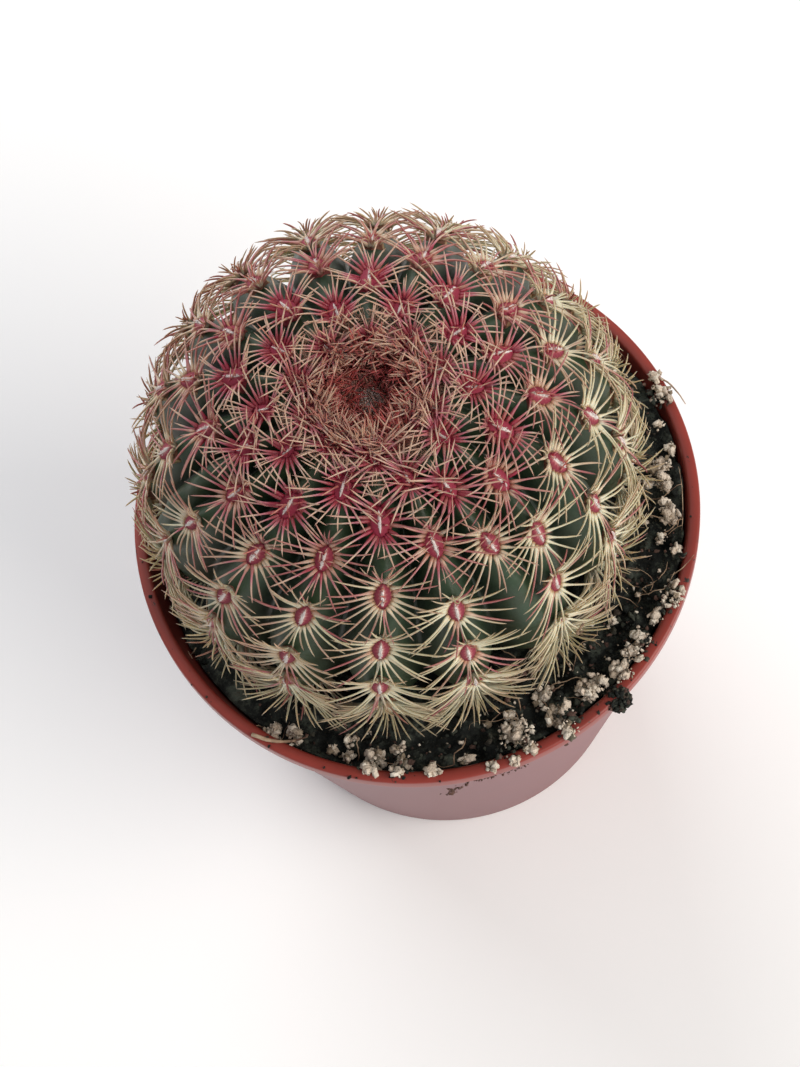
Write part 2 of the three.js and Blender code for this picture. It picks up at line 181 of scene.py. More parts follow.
GRAIN_SHAPES, GRAIN_DETAIL = 8, 2
GRAIN_KNOBS = ((1.5, 0.7), (3.7, 0.6))  # how close together large and small knobs are, and how high
GRAIN_STRETCH = (0.45, 1.25)


def grains(name, places, sizes, shade, seed, material):
    """A piece of rough grains, each a knobbly ball turned and stretched at random, with its own shade."""
    draw = np.random.default_rng(seed)
    ball = bmesh.new()
    bmesh.ops.create_icosphere(ball, subdivisions=GRAIN_DETAIL, radius=1)
    (close, high), (closer, low) = GRAIN_KNOBS
    shapes = []
    # Each shape has its knobs from another stretch of the noise.
    for variant in range(GRAIN_SHAPES):
        offset = Vector((variant * 7.3, 1.7, 4.1))
        bulges = [
            1 + high * noise.noise(close * v.co + offset) + low * noise.noise(closer * v.co - offset)
            for v in ball.verts
        ]
        shapes.append([v.co * bulge for v, bulge in zip(ball.verts, bulges)])
    triangles = np.array([[v.index for v in face.verts] for face in ball.faces])
    ball.free()
    count, corners = len(places), len(shapes[0])
    shape = np.array(shapes)[draw.integers(0, GRAIN_SHAPES, count)]
    shape = shape * draw.uniform(*GRAIN_STRETCH, (count, 1, 3))
    turns = zip(draw.uniform(0, 6, count), draw.normal(size=(count, 3)))
    turns = np.array([Matrix.Rotation(angle, 3, Vector(axis)) for angle, axis in turns])
    spots = np.einsum("nvi,nji->nvj", shape, turns) * sizes[:, None, None] + places[:, None]
    faces = triangles[None] + np.arange(count)[:, None, None] * corners
    mesh_piece(name, spots, [faces.reshape(-1, 3)], material, "soil", {"shade": np.repeat(shade, corners)})


def node(tree, kind, inputs=(), stops=None, **settings):
    """Adds a shader node with its settings. inputs are by socket or in the sockets' order, each a value or
    the socket or node that feeds it. stops are the places and colours of a colour ramp."""
    made = tree.nodes.new("ShaderNode" + kind)
    for name, value in settings.items():
        setattr(made, name, value)
    if stops:
        made.color_ramp.elements.remove(made.color_ramp.elements[0])
        for i, (place, value) in enumerate(stops):
            element = made.color_ramp.elements[0] if i == 0 else made.color_ramp.elements.new(place)
            element.position = place
            element.color = rgba(value) if isinstance(value, str) else value
    for socket, value in inputs.items() if isinstance(inputs, dict) else enumerate(inputs):
        if isinstance(value, bpy.types.Node):
            value = next(output for output in value.outputs if output.enabled)
        if isinstance(value, bpy.types.NodeSocket):
            tree.links.new(value, made.inputs[socket])
        else:
            made.inputs[socket].default_value = value
    return made


def made_of(name, looks, *settings):
    """The material of this name. looks adds its nodes and gives what feeds the surface."""
    material = bpy.data.materials.get(name)
    if not material:
        material = bpy.data.materials.new(name)
        material.use_nodes = True
        tree = material.node_tree
        tree.nodes.clear()
        surface = node(tree, "BsdfPrincipled", looks(tree, *settings))
        node(tree, "OutputMaterial", [surface])
    return material


# ---------------------------------------------------------------- what a user may change


class PotSettings(bpy.types.PropertyGroup):
    """The nursery pot."""

    height: length("Height", "From the foot to the top of the lip", POT_TOP.z / MM)
    lip_radius: length("Lip radius", "Outside of the lip", POT_TOP.x / MM)
    foot_radius: length("Foot radius", "Outside of the standing ring", 30)
    wall: length("Wall", "Thickness of the wall and lip", 1.3)
    lip_height: length("Lip height", "Height of the plain band round the top", 2.4)
    lip_step: length("Lip step", "How far the lip stands out from the wall", 0.5)
    plastic: colour("Plastic", "Terracotta plastic of the lip and the inside", "#91352a")
    # The bloom is dust and a painted sheen: the outer wall is painted paler, as if lit at a grazing angle.
    bloom: colour("Bloom", "Dusty, light-struck plastic of the outer wall", "#8c6467")


class SoilSettings(bpy.types.PropertyGroup):
    """The potting mix."""

    level: length("Level", "Height of the soil at the back left", 65.6)
    rise: length("Rise", "How much higher it is heaped at the front right", 3.6)
    crumbs: number("Crumbs", "Loose crumbs of peat on the soil", 1500, IntProperty, min=0)
    grains: number("Grains", "Single grains of pumice on the soil", 190, IntProperty, min=0)
    peat: colour("Peat", "Damp black peat", "#242725")
    bark: colour("Bark", "Brown fibres and bark in the peat", "#40302a")
    pumice: colour("Pumice", "Fresh pumice", "#cfbeac")
    pumice_stain: colour("Stained pumice", "Pumice darkened by the peat", "#8a7a66")


class PlantSettings(bpy.types.PropertyGroup):
    """The ribbed globe."""

    centre: number(
        "Centre",
        "Middle of the globe",
        (-2.5 * MM, 1.75 * MM, 86.8 * MM),
        FloatVectorProperty,
        subtype="XYZ",
        unit="LENGTH",
    )
    lean: number("Lean", "Lean towards the front, in degrees", 5.3)
    radius: length("Radius", "Over the crests of the ribs", 34.15)
    half_height: length("Half height", "From the middle to the shoulders of the crown", 33)
    crown_depth: length("Crown depth", "How far the growing point is sunk", 5)
    furrow: length("Furrow", "Depth of the furrows at the waist", 5.2)
    areole_bulge: length("Areole bulge", "Swelling of a rib under each areole", 0.35)
    skin: colour("Skin", "Waxy green skin", "#2c3f28")
    wax: colour("Wax", "Grey-green wax bloom on the skin", "#4a614e")
    # Painted shade: the skin is darkened towards this colour where the furrows are deep.
    shade: colour("Furrow", "Dark green down in the furrows", "#162217")


class SpineSettings(bpy.types.PropertyGroup):
    """Areoles and spines."""

    pad_width: length("Pad width", "Width of an areole with its pale rim", 3.7)
    pad_height: length("Pad height", "Height of an areole along its rib", 5.1)
    thickness: length("Thickness", "Thickness of a spine above its swollen root", 0.32)
    per_side: number("Spines a side", "Combed spines on each side of an areole", 11, IntProperty, min=3)
    straw: colour("Straw", "Grown spines", "#c5bb98")
    cream: colour("Cream", "The paler shaft just above the root", "#dbd4b8")
    rose: colour("Rose", "Outer half of younger spines", "#a2595e")
    crimson: colour("Crimson", "Swollen roots of the spines", "#95253f")
    maroon: colour("Maroon", "Newest spines of the crown", "#b65156")
    wool: colour("Wool", "White felt in the slit of an areole", "#efe7e3")
    brown: colour("Brown", "Felt at the crownward end of an areole", "#6c4030")


class StudioSettings(bpy.types.PropertyGroup):
    """Camera and light. The camera is aimed so that the lip lies where it does in the photograph."""

    elevation: number("Elevation", "Degrees above the horizon", 68.4)
    roll: number("Roll", "Turn about the view's axis in degrees", 12.6)
    distance: number("Distance", "From the middle of the lip", 0.378, unit="LENGTH")
    focal: number("Focal length", "In pixels of an 800 by 1067 picture", 2525.5)
    floor: colour("Floor", "Pale paper floor", "#ffffff")
    key_power: number("Key power", "Window light from the front right, in watts", 7.7)
    fill_power: number("Fill power", "Soft light from the left, in watts", 0.35)
    back_power: number("Back power", "Soft light from behind, in watts", 5.8)
    sky: number("Sky", "Strength of the even light all round", 0.4)


# ---------------------------------------------------------------- form of the plant, as in the solids

# Direction of each rib's crest in degrees from the front, turning right: at the crown and at the soil.
RIB_AT_CROWN = np.array(
    [-8, 11, 27, 46, 64, 82, 98, 115, 133, 150, 169, 189, 209, 229, 246, 264, 278, 292, 311, 332]
)
RIB_AT_SOIL = np.array(
    [-13, 9, 29, 34, 56, 77, 97, 115, 132, 152, 169, 187, 207, 224, 244, 264, 276, 281, 303, 324]
)
# How far each rib's areoles lie beyond their regular places, in degrees away from the crown.
AREOLE_SHIFT = np.array(
    [-0.6, -1.5, -3, -4, -0.3, 1, 1.2, 1.8, 0.8, 0.2, -0.9, -0.9, 0, 1.2, 2, 1.8, 0, -0.6, -0.2, -0.2]
)
RIBS = len(RIB_AT_CROWN)
RIB_TURNS = (25, 85)  # polar angles between which a rib turns to its lower direction
MERGED_WIDTH, FULL_WIDTH = 5, 15  # degrees between crests: no furrow, and a full one
LAST_AREOLE = {2: 48, 16: 31}  # a rib that joins its neighbour bears no areole below this polar angle
FURROW_OPENS, FURROW_CLOSES, FURROW_LOSS = (5, 42), (95, 128), 0.6
BULGE_STARTS, BULGE_ENDS = (18, 30), (105, 118)
CROWN_SPREAD = 11  # degrees from the axis over which the growing point is sunk
FIRST_AREOLE, AREOLE_PITCH, LOWEST_AREOLE = 22.8, 16.3, 122
AREOLE_STRAY = 0.45  # degrees by which areoles stray from their regular places
CROWN_AREOLE = 13  # no full areole opens nearer to the axis
FULL_PAD = 5.2  # room on the rib, in mm, that an areole of full size takes


def crest_turn(rib, polar):
    """Direction of a rib's crest, in degrees from the front."""
    lap, k = np.divmod(rib, RIBS)
    return 360 * lap + mix(RIB_AT_CROWN[k], RIB_AT_SOIL[k], ramp(polar, *RIB_TURNS))


def furrow_depth(rib, across, polar, full=1):
    """Depth of the furrow between a rib and the next one, from that of a full one."""
    width = crest_turn(rib + 1, polar) - crest_turn(rib, polar)
    room = np.clip((width - MERGED_WIDTH) / (FULL_WIDTH - MERGED_WIDTH), 0, 1)
    openness = room * ramp(polar, *FURROW_OPENS) * (1 - FURROW_LOSS * ramp(polar, *FURROW_CLOSES))
    return full * openness * (1 - np.abs(np.cos(np.pi * across)))


def areole_start(rib):
    """Polar angle of a rib's first full areole. Those of every other rib are half a pitch lower."""
    rib = np.asarray(rib) % RIBS
    return FIRST_AREOLE + AREOLE_SHIFT[rib] + np.where(rib % 2 == 0, AREOLE_PITCH / 2, 0)


def stem_point(plant, rib, across, polar):
    """Spots of the skin in the globe's own frame. across is 0 on a rib's crest and 1 on the next."""
    turn = np.radians(mix(crest_turn(rib, polar), crest_turn(rib + 1, polar), across))
    bulge = plant.areole_bulge * ramp(polar, *BULGE_STARTS) * (1 - ramp(polar, *BULGE_ENDS))
    here, beside = (np.cos(2 * np.pi * (polar - areole_start(rib + i)) / AREOLE_PITCH) for i in (0, 1))
    swelling = here * np.maximum(0, 1 - 2 * across) + beside * np.maximum(0, 2 * across - 1)
    relief = bulge * swelling - furrow_depth(rib, across, polar, plant.furrow)
    p = np.radians(polar)
    sunk = plant.crown_depth * np.exp(-((polar / CROWN_SPREAD) ** 2))
    height = (plant.half_height + relief) * np.cos(p) - sunk
    return from_front((plant.radius + relief) * np.sin(p), turn, height)


def stand(plant, spots):
    """Brings spots from the globe's own frame to where the plant leans in its pot."""
    lean = np.array(Matrix.Rotation(math.radians(plant.lean), 3, "X"))
    return spots @ lean.T + np.array(plant.centre)


def areoles(draw):
    """Rib and polar angle of every areole, each a little off its regular place."""
    found = []
    for rib in range(RIBS):
        polar = float(areole_start(rib)) - AREOLE_PITCH
        while polar < LAST_AREOLE.get(rib, LOWEST_AREOLE):
            if polar > CROWN_AREOLE:
                found.append((rib, polar))
            polar += AREOLE_PITCH
    rib, polar = (np.array(column) for column in zip(*found))
    return rib, polar + draw.normal(0, AREOLE_STRAY, len(polar))


def areole_frames(plant, rib, polar):
    """Origin of each areole and its three directions: sideways, towards the crown and outwards."""
    up = unit(stem_point(plant, rib, 0.0, polar - 1) - stem_point(plant, rib, 0.0, polar + 1))
    turn = np.radians(crest_turn(rib, polar))
    side = np.stack([np.cos(turn), np.sin(turn), 0 * turn], axis=-1)
    return stem_point(plant, rib, 0.0, polar), np.stack([side, up, np.cross(side, up)], axis=1)


def on_areoles(plant, frames, local):
    """Spots in the areoles' frames, shape (areoles, ..., 3), brought to where they stand."""
    origin, axes = frames
    rows = local.reshape(len(local), -1, 3)
    rows = np.einsum("nvi,nij->nvj", rows, axes) + origin[:, None]
    return stand(plant, rows.reshape(local.shape))


def pad_scale(plant, rib, polar):
    """Pads are smaller beside the crown and where a rib is narrow."""
    before, here, after = (crest_turn(rib + i, polar) for i in (-1, 0, 1))
    width = np.radians(np.minimum(after - here, here - before)) * plant.radius * np.sin(np.radians(polar))
    return np.clip(width / (FULL_PAD * MM), 0.5, 1) * mix(1.05, 1, ramp(polar, 22, 50))


# ---------------------------------------------------------------- pot

FOOT_WIDTH, FOOT_RECESS, FLOOR, EDGE = 4 * MM, 1.5 * MM, 1.6 * MM, 0.5 * MM
EDGE_SHARES = (1, 0.6, 1, 0.35, 0.3, 1, 1, 2)  # how round each corner of the outline is
EDGE_STEPS = 4
TIP = 0.05 * MM  # the outline starts and ends this near to the axis
POT_SIDES = 256
DRAIN_RADIUS, DRAIN_CIRCLE, DRAIN_SIDES = 3.4 * MM, 17 * MM, 40
DRAIN_PLACES = [(0, 0), (1, 0), (0, 1), (-1, 0), (0, -1)]  # one in the middle and four round it
SHARP_EDGE = 50  # degrees
DUST_AND_SHEEN_IN, DUST_AND_SHEEN_UP = (-0.8 * MM, -0.2 * MM), (-0.1 * MM, 0.4 * MM)  # where the dust and painted sheen fade inward and up to the lip
INNER_SHADE_FULL, INNER_SHADE_END = 1.7 * MM, 0.6 * MM  # in from the lip's outside, where the painted shade on the inner lip is full and ends
SPECK_ZONE = 9 * MM  # how far under the top of the lip soil specks reach


class AddPot(bpy.types.Operator):
    """Build the nursery pot with its plain lip, standing ring and drain holes"""

    bl_idname = "cactus.add_pot"
    bl_label = "Pot"

    def execute(self, context):
        pot = context.scene.cactus_pot
        plastic = made_of("moulded_terracotta_polypropylene", pot_plastic, pot)
        piece = mesh_piece("pot_shell", *pot_form(pot), plastic, "pot")
        cut_drain_holes(piece)
        mark_dust_and_sheen(piece, pot)
        return {"FINISHED"}


def wall_radius(pot, z):
    """Outside of the tapered wall at a height."""
    return mix(pot.foot_radius, pot.lip_radius - pot.lip_step, z / pot.height)


def inner_radius(pot, z):
    """Inside of the wall at a height."""
    return wall_radius(pot, z) - pot.wall


def rounded(corner, before, after, radius):
    """A corner of an outline as a short curve between the two sides that meet there."""
    corner, before, after = (np.array(p, float) for p in (corner, before, after))
    start = corner + unit(before - corner) * radius
    end = corner + unit(after - corner) * radius
    t = np.linspace(0, 1, EDGE_STEPS + 1)[:, None]
    return (1 - t) ** 2 * start + 2 * t * (1 - t) * corner + t**2 * end


def pot_form(pot):
    """The turned shell: from the middle of the underside over the wall and lip to the floor inside."""
    under_lip = pot.height - pot.lip_height
    floor = FOOT_RECESS + FLOOR
    outline = [
        (TIP, FOOT_RECESS),
        (pot.foot_radius - FOOT_WIDTH - FOOT_RECESS, FOOT_RECESS),
        (pot.foot_radius - FOOT_WIDTH, 0),
        (pot.foot_radius, 0),
        (wall_radius(pot, under_lip - pot.lip_step), under_lip - pot.lip_step),
        (pot.lip_radius, under_lip),
        (pot.lip_radius, pot.height),
        (inner_radius(pot, pot.height), pot.height),
        (inner_radius(pot, floor), floor),
        (TIP, floor),
    ]
    corners = zip(outline[1:-1], outline, outline[2:], EDGE_SHARES)
    curves = [rounded(corner, before, after, share * EDGE) for corner, before, after, share in corners]
    line = np.concatenate([outline[:1], *curves, outline[-1:]])
    turn = 2 * np.pi * np.arange(POT_SIDES) / POT_SIDES
    spots = from_right(line[:, 0, None], turn, line[:, 1, None])
    return spots, turned_over(tube_faces(len(line), POT_SIDES))


def cut_drain_holes(piece):
    """Cuts five round holes through the floor."""
    cutter = bmesh.new()
    for x, y in DRAIN_PLACES:
        place = Matrix.Translation((x * DRAIN_CIRCLE, y * DRAIN_CIRCLE, FOOT_RECESS))
        bmesh.ops.create_cone(
            cutter,
            cap_ends=True,
            segments=DRAIN_SIDES,
            radius1=DRAIN_RADIUS,
            radius2=DRAIN_RADIUS,
            depth=6 * FLOOR,
            matrix=place,
        )
    mesh = bpy.data.meshes.new("drain_cutter")
    cutter.to_mesh(mesh)
    cutter.free()
    tool = bpy.data.objects.new("drain_cutter", mesh)
    bpy.context.scene.collection.objects.link(tool)
    holes = piece.modifiers.new("holes", "BOOLEAN")
    holes.operation, holes.solver, holes.object = "DIFFERENCE", "EXACT", tool
    seen = piece.evaluated_get(bpy.context.evaluated_depsgraph_get())
    cut = bpy.data.meshes.new_from_object(seen)
    piece.modifiers.clear()
    piece.data = cut
    bpy.data.objects.remove(tool)


def mark_dust_and_sheen(piece, pot):
    """Marks the outer wall, which dust and a painted sheen make paler, and leaves the lip and the inside at
    0.
    """
    mesh = piece.data
    x, y, z = np.array([v.co for v in mesh.vertices]).T
    under_lip = pot.height - pot.lip_height - pot.lip_step
    # bloom is the share of dust and painted sheen on the outer wall.
    bloom = ramp(np.hypot(x, y) - wall_radius(pot, z), *DUST_AND_SHEEN_IN)
    bloom *= 1 - ramp(z, *(under_lip + end for end in DUST_AND_SHEEN_UP))
    mesh.attributes.new("bloom", "FLOAT", "POINT").data.foreach_set("value", bloom)
    mesh.polygons.foreach_set("use_smooth", [True] * len(mesh.polygons))
    mesh.set_sharp_from_angle(angle=math.radians(SHARP_EDGE))


def pot_plastic(tree, pot):
    """Moulded polypropylene: dull terracotta with a fine mould grain, hazed pale rose outside by dust and a
    painted sheen.
    """
    place = node(tree, "TexCoord").outputs["Object"]
    dust = node(tree, "TexNoise", {"Vector": place, "Scale": 70, "Detail": 4, "Roughness": 0.6})
    # bloom marks where dust and a painted sheen make the outer wall paler.
    bloom = node(tree, "Attribute", attribute_name="bloom").outputs["Fac"]
    haze = node(tree, "MapRange", [dust, 0.3, 0.7, 0.84, 1])
    share = node(tree, "Math", [bloom, haze], operation="MULTIPLY")
    tones = [(0.3, rgba(pot.plastic, 0.8)), (0.7, rgba(pot.plastic, 1.12))]
    plastic = node(tree, "ValToRGB", [dust], tones)
    tone = node(tree, "Mix", {"Factor": share, 6: plastic, 7: rgba(pot.bloom)}, data_type="RGBA")
    # Painted shade darkens the inner half of the lip, where it rounds inward, and the wall inside.
    level = node(tree, "VectorMath", [place, (1, 1, 0)], operation="MULTIPLY")
    away = node(tree, "VectorMath", [level], operation="LENGTH")
    inner, outer = pot.lip_radius - INNER_SHADE_FULL, pot.lip_radius - INNER_SHADE_END
    painted_inner_shade = node(tree, "MapRange", [away, inner, outer, 0.6, 0])
    not_outside = node(tree, "Math", [1.0, bloom], operation="SUBTRACT")
    painted_inner_shade = node(tree, "Math", [painted_inner_shade, not_outside], operation="MULTIPLY")
    tone = node(tree, "Mix", {"Factor": painted_inner_shade, 6: tone, 7: rgba("#4a1a17")}, data_type="RGBA")
    # Soil has splashed on the lip and just under it: the specks get fewer downward.
    splash = node(tree, "TexNoise", {"Vector": place, "Scale": 420, "Detail": 5, "Roughness": 0.7})
    height = node(tree, "SeparateXYZ", [place]).outputs["Z"]
    low, high = pot.height - SPECK_ZONE, pot.height
    near = node(tree, "MapRange", [height, low, high, 0, 0.09])
    limit = node(tree, "Math", [0.74, near], operation="SUBTRACT")
    speck = node(tree, "Math", [splash, limit], operation="GREATER_THAN")
    tone = node(tree, "Mix", {"Factor": speck, 6: tone, 7: rgba("#2b221d")}, data_type="RGBA")
    # The mould was spark eroded: a grain of about 0.25 mm.
    grain = node(tree, "TexNoise", {"Vector": place, "Scale": 4000, "Detail": 2})
    bump = node(tree, "Bump", {"Height": grain, "Strength": 0.12, "Distance": 0.05 * MM})
    rough = node(tree, "MapRange", [share, 0, 1, 0.36, 0.58])
    return {"Base Color": tone, "Roughness": rough, "Normal": bump, "IOR": 1.49}


# ---------------------------------------------------------------- soil

HEAP_DIRECTION, HEAP_SPAN, CRUMB_RELIEF = -35, (-0.2, 0.9), 0.5 * MM
BANK, BANK_SPAN = 1.4 * MM, (0.78, 0.95)  # how much the soil is banked up against the wall where it is heaped
CLEARANCE = 0.35 * MM
SOIL_SHARES = np.r_[0.01, np.linspace(0.2, 0.6, 9), np.linspace(0.62, 1, 62)]  # rings of the soil's surface
SOIL_SIDES = 440
SOIL_RINGS = (50 * MM, 20 * MM, FOOT_RECESS + FLOOR + CLEARANCE)  # heights of the rings below the surface
CLOD_SIZE, CLOD_HEIGHT, CLOD_LAYERS = 3.2 * MM, 1.05, (0.75, 2.3, 4)  # layers: roughness, spacing and number
SOIL_NEAR_TOP, GRIT_LEVEL = 68 * MM, 69 * MM  # heights at which the wall bounds what lies on the soil
STEM_FOOT, STEM_FOOT_AHEAD = 28.2 * MM, 1.7 * MM  # radius of the plant at the soil, and how far it is ahead
FRONT_RIGHT = (-50, 48)  # where most of what lies on the soil is, and its spread, in degrees from +X
OPEN_SOIL = (0.42, 1)  # from the stem to the wall, in shares of the area inside the wall


def soil_height(pot, soil, x, y):
    """Height of the heaped surface under its crumbs."""
    heap = math.radians(HEAP_DIRECTION)
    towards = (x * math.cos(heap) + y * math.sin(heap)) / pot.lip_radius
    u, v = x / MM, y / MM
    relief = np.sin(0.9 * u + 1.3) * np.cos(0.75 * v) + 0.6 * np.sin(1.7 * v + 0.8 * u)
    heaped = ramp(towards, *HEAP_SPAN)
    bank = BANK * ramp(np.hypot(x, y) / pot.lip_radius, *BANK_SPAN) * heaped
    return soil.level + soil.rise * heaped + bank + CRUMB_RELIEF * relief


def soil_ring(pot, plant, draw, count, front):
    """Places on the open soil between stem and wall. front is the share that lies at the front right."""
    turn = np.where(draw.random(count) < front, draw.normal(*FRONT_RIGHT, count), draw.uniform(0, 360, count))
    turn = np.radians(turn)
    away = np.sqrt(draw.uniform(*OPEN_SOIL, count)) * (inner_radius(pot, SOIL_NEAR_TOP) - 0.8 * MM)
    x, y = away * np.cos(turn), away * np.sin(turn)
    clear = np.hypot(x - plant.centre[0], y - plant.centre[1] + STEM_FOOT_AHEAD) > STEM_FOOT
    return x[clear], y[clear]


class AddSoil(bpy.types.Operator):
    """Build the bed of potting mix with its lumpy surface"""

    bl_idname = "cactus.add_soil"
    bl_label = "Soil"

    def execute(self, context):
        scene = context.scene
        pot, soil = scene.cactus_pot, scene.cactus_soil
        turn = 2 * np.pi * np.arange(SOIL_SIDES) / SOIL_SIDES
        brim = inner_radius(pot, soil.level) - CLEARANCE
        x, y, _ = np.moveaxis(from_right(SOIL_SHARES[:, None], turn, 0), -1, 0) * brim
        z = soil_height(pot, soil, x, y)
        surface = np.stack([x, y, z], axis=-1).reshape(-1, 3).tolist()
        clods = [noise.fractal(Vector(spot) / CLOD_SIZE, *CLOD_LAYERS) for spot in surface]
        z = z + np.reshape(clods, z.shape) * CLOD_HEIGHT * MM
        grow = (inner_radius(pot, z) - CLEARANCE) / brim
        below = [from_right(inner_radius(pot, height) - CLEARANCE, turn, height) for height in SOIL_RINGS]
        rings = np.concatenate([np.stack([x * grow, y * grow, z], axis=-1), below])
        peat = made_of("damp_milled_peat", peat_mix, soil)
        mesh_piece("soil_bed", rings, tube_faces(len(rings), SOIL_SIDES), peat, "soil")
        return {"FINISHED"}


def peat_mix(tree, soil):
    """Milled peat, damp: almost black and matt, flecked with brown fibre and fine pale dust."""
    place = node(tree, "TexCoord").outputs["Object"]
    clods = node(tree, "TexNoise", {"Vector": place, "Scale": 300, "Detail": 6, "Roughness": 0.65})
    flecks = node(tree, "TexNoise", {"Vector": place, "Scale": 1600, "Detail": 3, "Roughness": 0.6})
    tones = [(0.36, rgba(soil.peat, 0.4)), (0.5, rgba(soil.peat)), (0.62, "#4f554c"), (0.76, rgba(soil.bark))]
    peat = node(tree, "ValToRGB", [clods], tones)
    fleck = node(tree, "MapRange", [flecks, 0.66, 0.78, 0, 0.6])
    tone = node(tree, "Mix", {"Factor": fleck, 6: peat, 7: rgba("#7f7362")}, data_type="RGBA")
    height = node(tree, "Math", [clods, flecks], operation="ADD")
    bump = node(tree, "Bump", {"Height": height, "Strength": 0.9, "Distance": 0.5 * MM})
    return {"Base Color": tone, "Roughness": 0.92, "Specular IOR Level": 0.25, "Normal": bump}


# Crumbs that lie over the lip: direction in degrees from +X, spread along the lip in mm, and how many.
LIP_CLUMPS = [
    (-68, 1, 34), (-81, 1.2, 18), (-34, 1.6, 30), (-24, 0.6, 10),
    (-45, 1.2, 16), (-104, 1, 14), (13, 1.3, 24),
]  # fmt: skip
# The clump that has slid over the lip: its middle and spread each way in mm, reach in spreads, and how many.
SLID_AT, SLID_SPREAD = np.array([22.6, -35.7, 71.4]), np.array([1.1, 1.15, 0.75])
SLID_REACH, SLID_COUNT = 1.65, 260
LIP_CRUMBS, LIP_CRUMB_TURNS = 30, (-95, 34)  # single crumbs on the lip, and where they lie in degrees from +X
# Wet soil on the wall: direction in degrees, height, spread along and up, and slant in mm, and how many.
SPLASHES = [
    (-96.4, 49.5, 0.5, 0.8, 0.2, 12), (-95, 54.5, 0.45, 1.4, 0.1, 24), (-91.4, 62.8, 0.5, 1, 0, 9),
    (-88.6, 61.2, 0.7, 1.2, 0.1, 21), (-84.5, 63, 0.5, 0.7, 0, 9), (-81, 60.2, 0.8, 1.2, 0.3, 21),
    (-70, 62, 0.5, 1, 0, 6),
]  # fmt: skip
WET_SHADE = (0.84, 0.97)


def splash(pot, draw, turn, height, wide, tall, slant, count):
    """Places of soil specks that stick to the outside of the wall round one spot."""
    across, up = draw.normal(0, 1, (2, count))
    z = np.minimum((height + tall * up) * MM, pot.height - pot.lip_height - 0.8 * MM)
    angle = np.radians(turn) + (wide * across + slant * up) * MM / pot.foot_radius
    return from_right(wall_radius(pot, z), angle, z)


def ledge(pot, draw, turn, spread, count):
    """Places of crumbs heaped on the inner edge of the lip."""
    turn = math.radians(turn) + draw.normal(0, spread * MM, count) / pot.lip_radius
    away = pot.lip_radius - pot.wall - pot.lip_step + np.clip(draw.normal(-0.3, 0.75, count), -2, 1.1) * MM
    return from_right(away, turn, pot.height + draw.uniform(-0.8, 0.4, count) * MM)


class AddCrumbs(bpy.types.Operator):
    """Strew peat crumbs on the soil, over the lip and on the wall below it"""

    bl_idname = "cactus.add_crumbs"
    bl_label = "Peat crumbs"

    def execute(self, context):
        scene = context.scene
        pot, soil, plant = scene.cactus_pot, scene.cactus_soil, scene.cactus_plant
        draw = np.random.default_rng(11)
        x, y = soil_ring(pot, plant, draw, soil.crumbs, 0.6)
        loose_size = np.clip(draw.lognormal(-1.5, 0.5, len(x)), 0.12, 0.7) * MM
        z = soil_height(pot, soil, x, y) + draw.uniform(0.1, 0.6, len(x)) * loose_size + 0.25 * MM
        off = draw.normal(0, 1, (SLID_COUNT, 3))
        off *= np.minimum(1, SLID_REACH / np.linalg.norm(off, axis=1, keepdims=True))
        slid = SLID_AT * MM + off * SLID_SPREAD * MM
        slid_size = draw.uniform(0.16, 0.5, SLID_COUNT) * MM
        ledges = np.concatenate([ledge(pot, draw, *heap) for heap in LIP_CLUMPS])
        ledge_size = draw.uniform(0.18, 0.5, len(ledges)) * MM
        lip_turn = np.radians(draw.normal(*LIP_CRUMB_TURNS, LIP_CRUMBS))
        lip_away = draw.uniform(pot.lip_radius - pot.wall - 0.6 * MM, pot.lip_radius, LIP_CRUMBS)
        lip = from_right(lip_away, lip_turn, pot.height + 0.05 * MM)
        wall = np.concatenate([splash(pot, draw, *splashed) for splashed in SPLASHES])
        lip_size = draw.uniform(0.1, 0.3, LIP_CRUMBS) * MM
        wall_size = np.minimum(draw.lognormal(-1.75, 0.42, len(wall)), 0.4) * MM
        places = np.concatenate([np.stack([x, y, z], axis=-1), slid, ledges, lip, wall])
        size = np.r_[loose_size, slid_size, ledge_size, lip_size, wall_size]
        shade = draw.random(len(size))
        shade[-len(wall) :] = draw.uniform(*WET_SHADE, len(wall))
        grains("peat_crumbs", places, size, shade, 12, made_of("peat_and_bark_crumb", peat_crumb, soil))
        return {"FINISHED"}


def peat_crumb(tree, soil):
    """Crumbs of peat and bark: each its own tone, from black through green-grey to brown."""
    place = node(tree, "TexCoord").outputs["Object"]
    shade = node(tree, "Attribute", attribute_name="shade").outputs["Fac"]
    peat, bark = rgba(soil.peat, 0.6), rgba(soil.bark)
    tones = [(0, peat), (0.35, "#282c28"), (0.65, "#4a4d43"), (0.82, bark), (1, "#7c5f55")]
    tone = node(tree, "ValToRGB", [shade], tones)
    # Fibres of about 0.3 mm.
    grain = node(tree, "TexNoise", {"Vector": place, "Scale": 3000, "Detail": 4, "Roughness": 0.75})
    value = node(tree, "MapRange", [grain, 0.25, 0.75, 0.4, 1.6])
    tone = node(tree, "HueSaturation", {"Color": tone, "Value": value})
    bump = node(tree, "Bump", {"Height": grain, "Strength": 0.9, "Distance": 0.3 * MM})
    return {"Base Color": tone, "Roughness": 0.9, "Specular IOR Level": 0.3, "Normal": bump}


